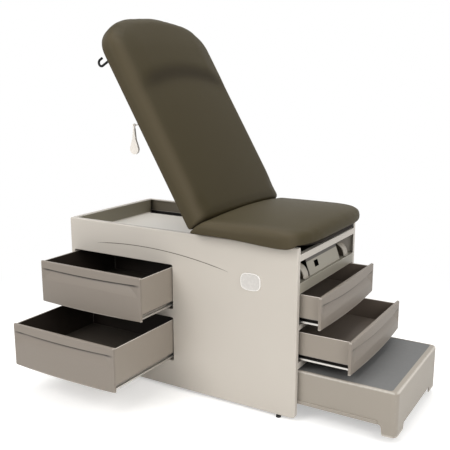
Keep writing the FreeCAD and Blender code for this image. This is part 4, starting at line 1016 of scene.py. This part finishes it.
def makeSky():
    world = bpy.data.worlds.new("studio")
    world.use_nodes = True
    tree = world.node_tree
    shade = tree.nodes["Background"]
    shade.inputs["Color"].default_value = (1.0, 1.0, 1.0, 1.0)
    shade.inputs["Strength"].default_value = skyLook["ambient"]
    white = tree.nodes.new("ShaderNodeBackground")
    white.inputs["Color"].default_value = (1.0, 1.0, 1.0, 1.0)
    white.inputs["Strength"].default_value = skyLook["background"]
    mix = tree.nodes.new("ShaderNodeMixShader")
    tree.links.new(seenDirectly(tree), mix.inputs["Fac"])
    tree.links.new(shade.outputs[0], mix.inputs[1])
    tree.links.new(white.outputs[0], mix.inputs[2])
    tree.links.new(mix.outputs[0], tree.nodes["World Output"].inputs["Surface"])
    bpy.context.scene.world = world


def makeFloor():
    # plain pale disc that takes the shadow, and turns into the white background away from the table
    look = floorLook
    angle = fullTurn(look["sides"])
    rim = np.stack([np.cos(angle), np.sin(angle), np.zeros_like(angle)], -1) * look["radius"]
    floor = meshPiece("floor", rim, [list(range(look["sides"]))], smooth=False)
    material, tree, shader, position = newMaterial("paleFloor")
    color = drifted(tree, position, look, look["color"])
    tree.links.new(color, shader.inputs["Base Color"])
    shader.inputs["Roughness"].default_value = look["roughness"]
    shader.inputs["Specular IOR Level"].default_value = 0.0
    away = tree.nodes.new("ShaderNodeVectorMath")
    away.operation = "LENGTH"
    tree.links.new(position, away.inputs[0])
    spread = tree.nodes.new("ShaderNodeMapRange")
    spread.interpolation_type = "SMOOTHSTEP"
    spread.inputs["From Min"].default_value = look["shadowReach"]
    spread.inputs["From Max"].default_value = look["whiteReach"]
    tree.links.new(away.outputs["Value"], spread.inputs["Value"])
    white = tree.nodes.new("ShaderNodeEmission")
    white.inputs["Strength"].default_value = 1.0
    glow = tree.nodes.new("ShaderNodeEmission")
    tree.links.new(mathNode(tree, "MULTIPLY", seenDirectly(tree), look["glow"]), glow.inputs["Strength"])
    both = tree.nodes.new("ShaderNodeAddShader")
    tree.links.new(shader.outputs[0], both.inputs[0])
    tree.links.new(glow.outputs[0], both.inputs[1])
    mix = tree.nodes.new("ShaderNodeMixShader")
    whiteShare = mathNode(tree, "MULTIPLY", spread.outputs["Result"], seenDirectly(tree))
    tree.links.new(whiteShare, mix.inputs["Fac"])
    tree.links.new(both.outputs[0], mix.inputs[1])
    tree.links.new(white.outputs[0], mix.inputs[2])
    tree.links.new(mix.outputs[0], tree.nodes["Material Output"].inputs["Surface"])
    floor.data.materials.append(material)


makeCamera()
makeLamps()
makeSky()
makeFloor()
bpy.context.scene.view_settings.view_transform = "Standard"
print("camera, light and floor done")
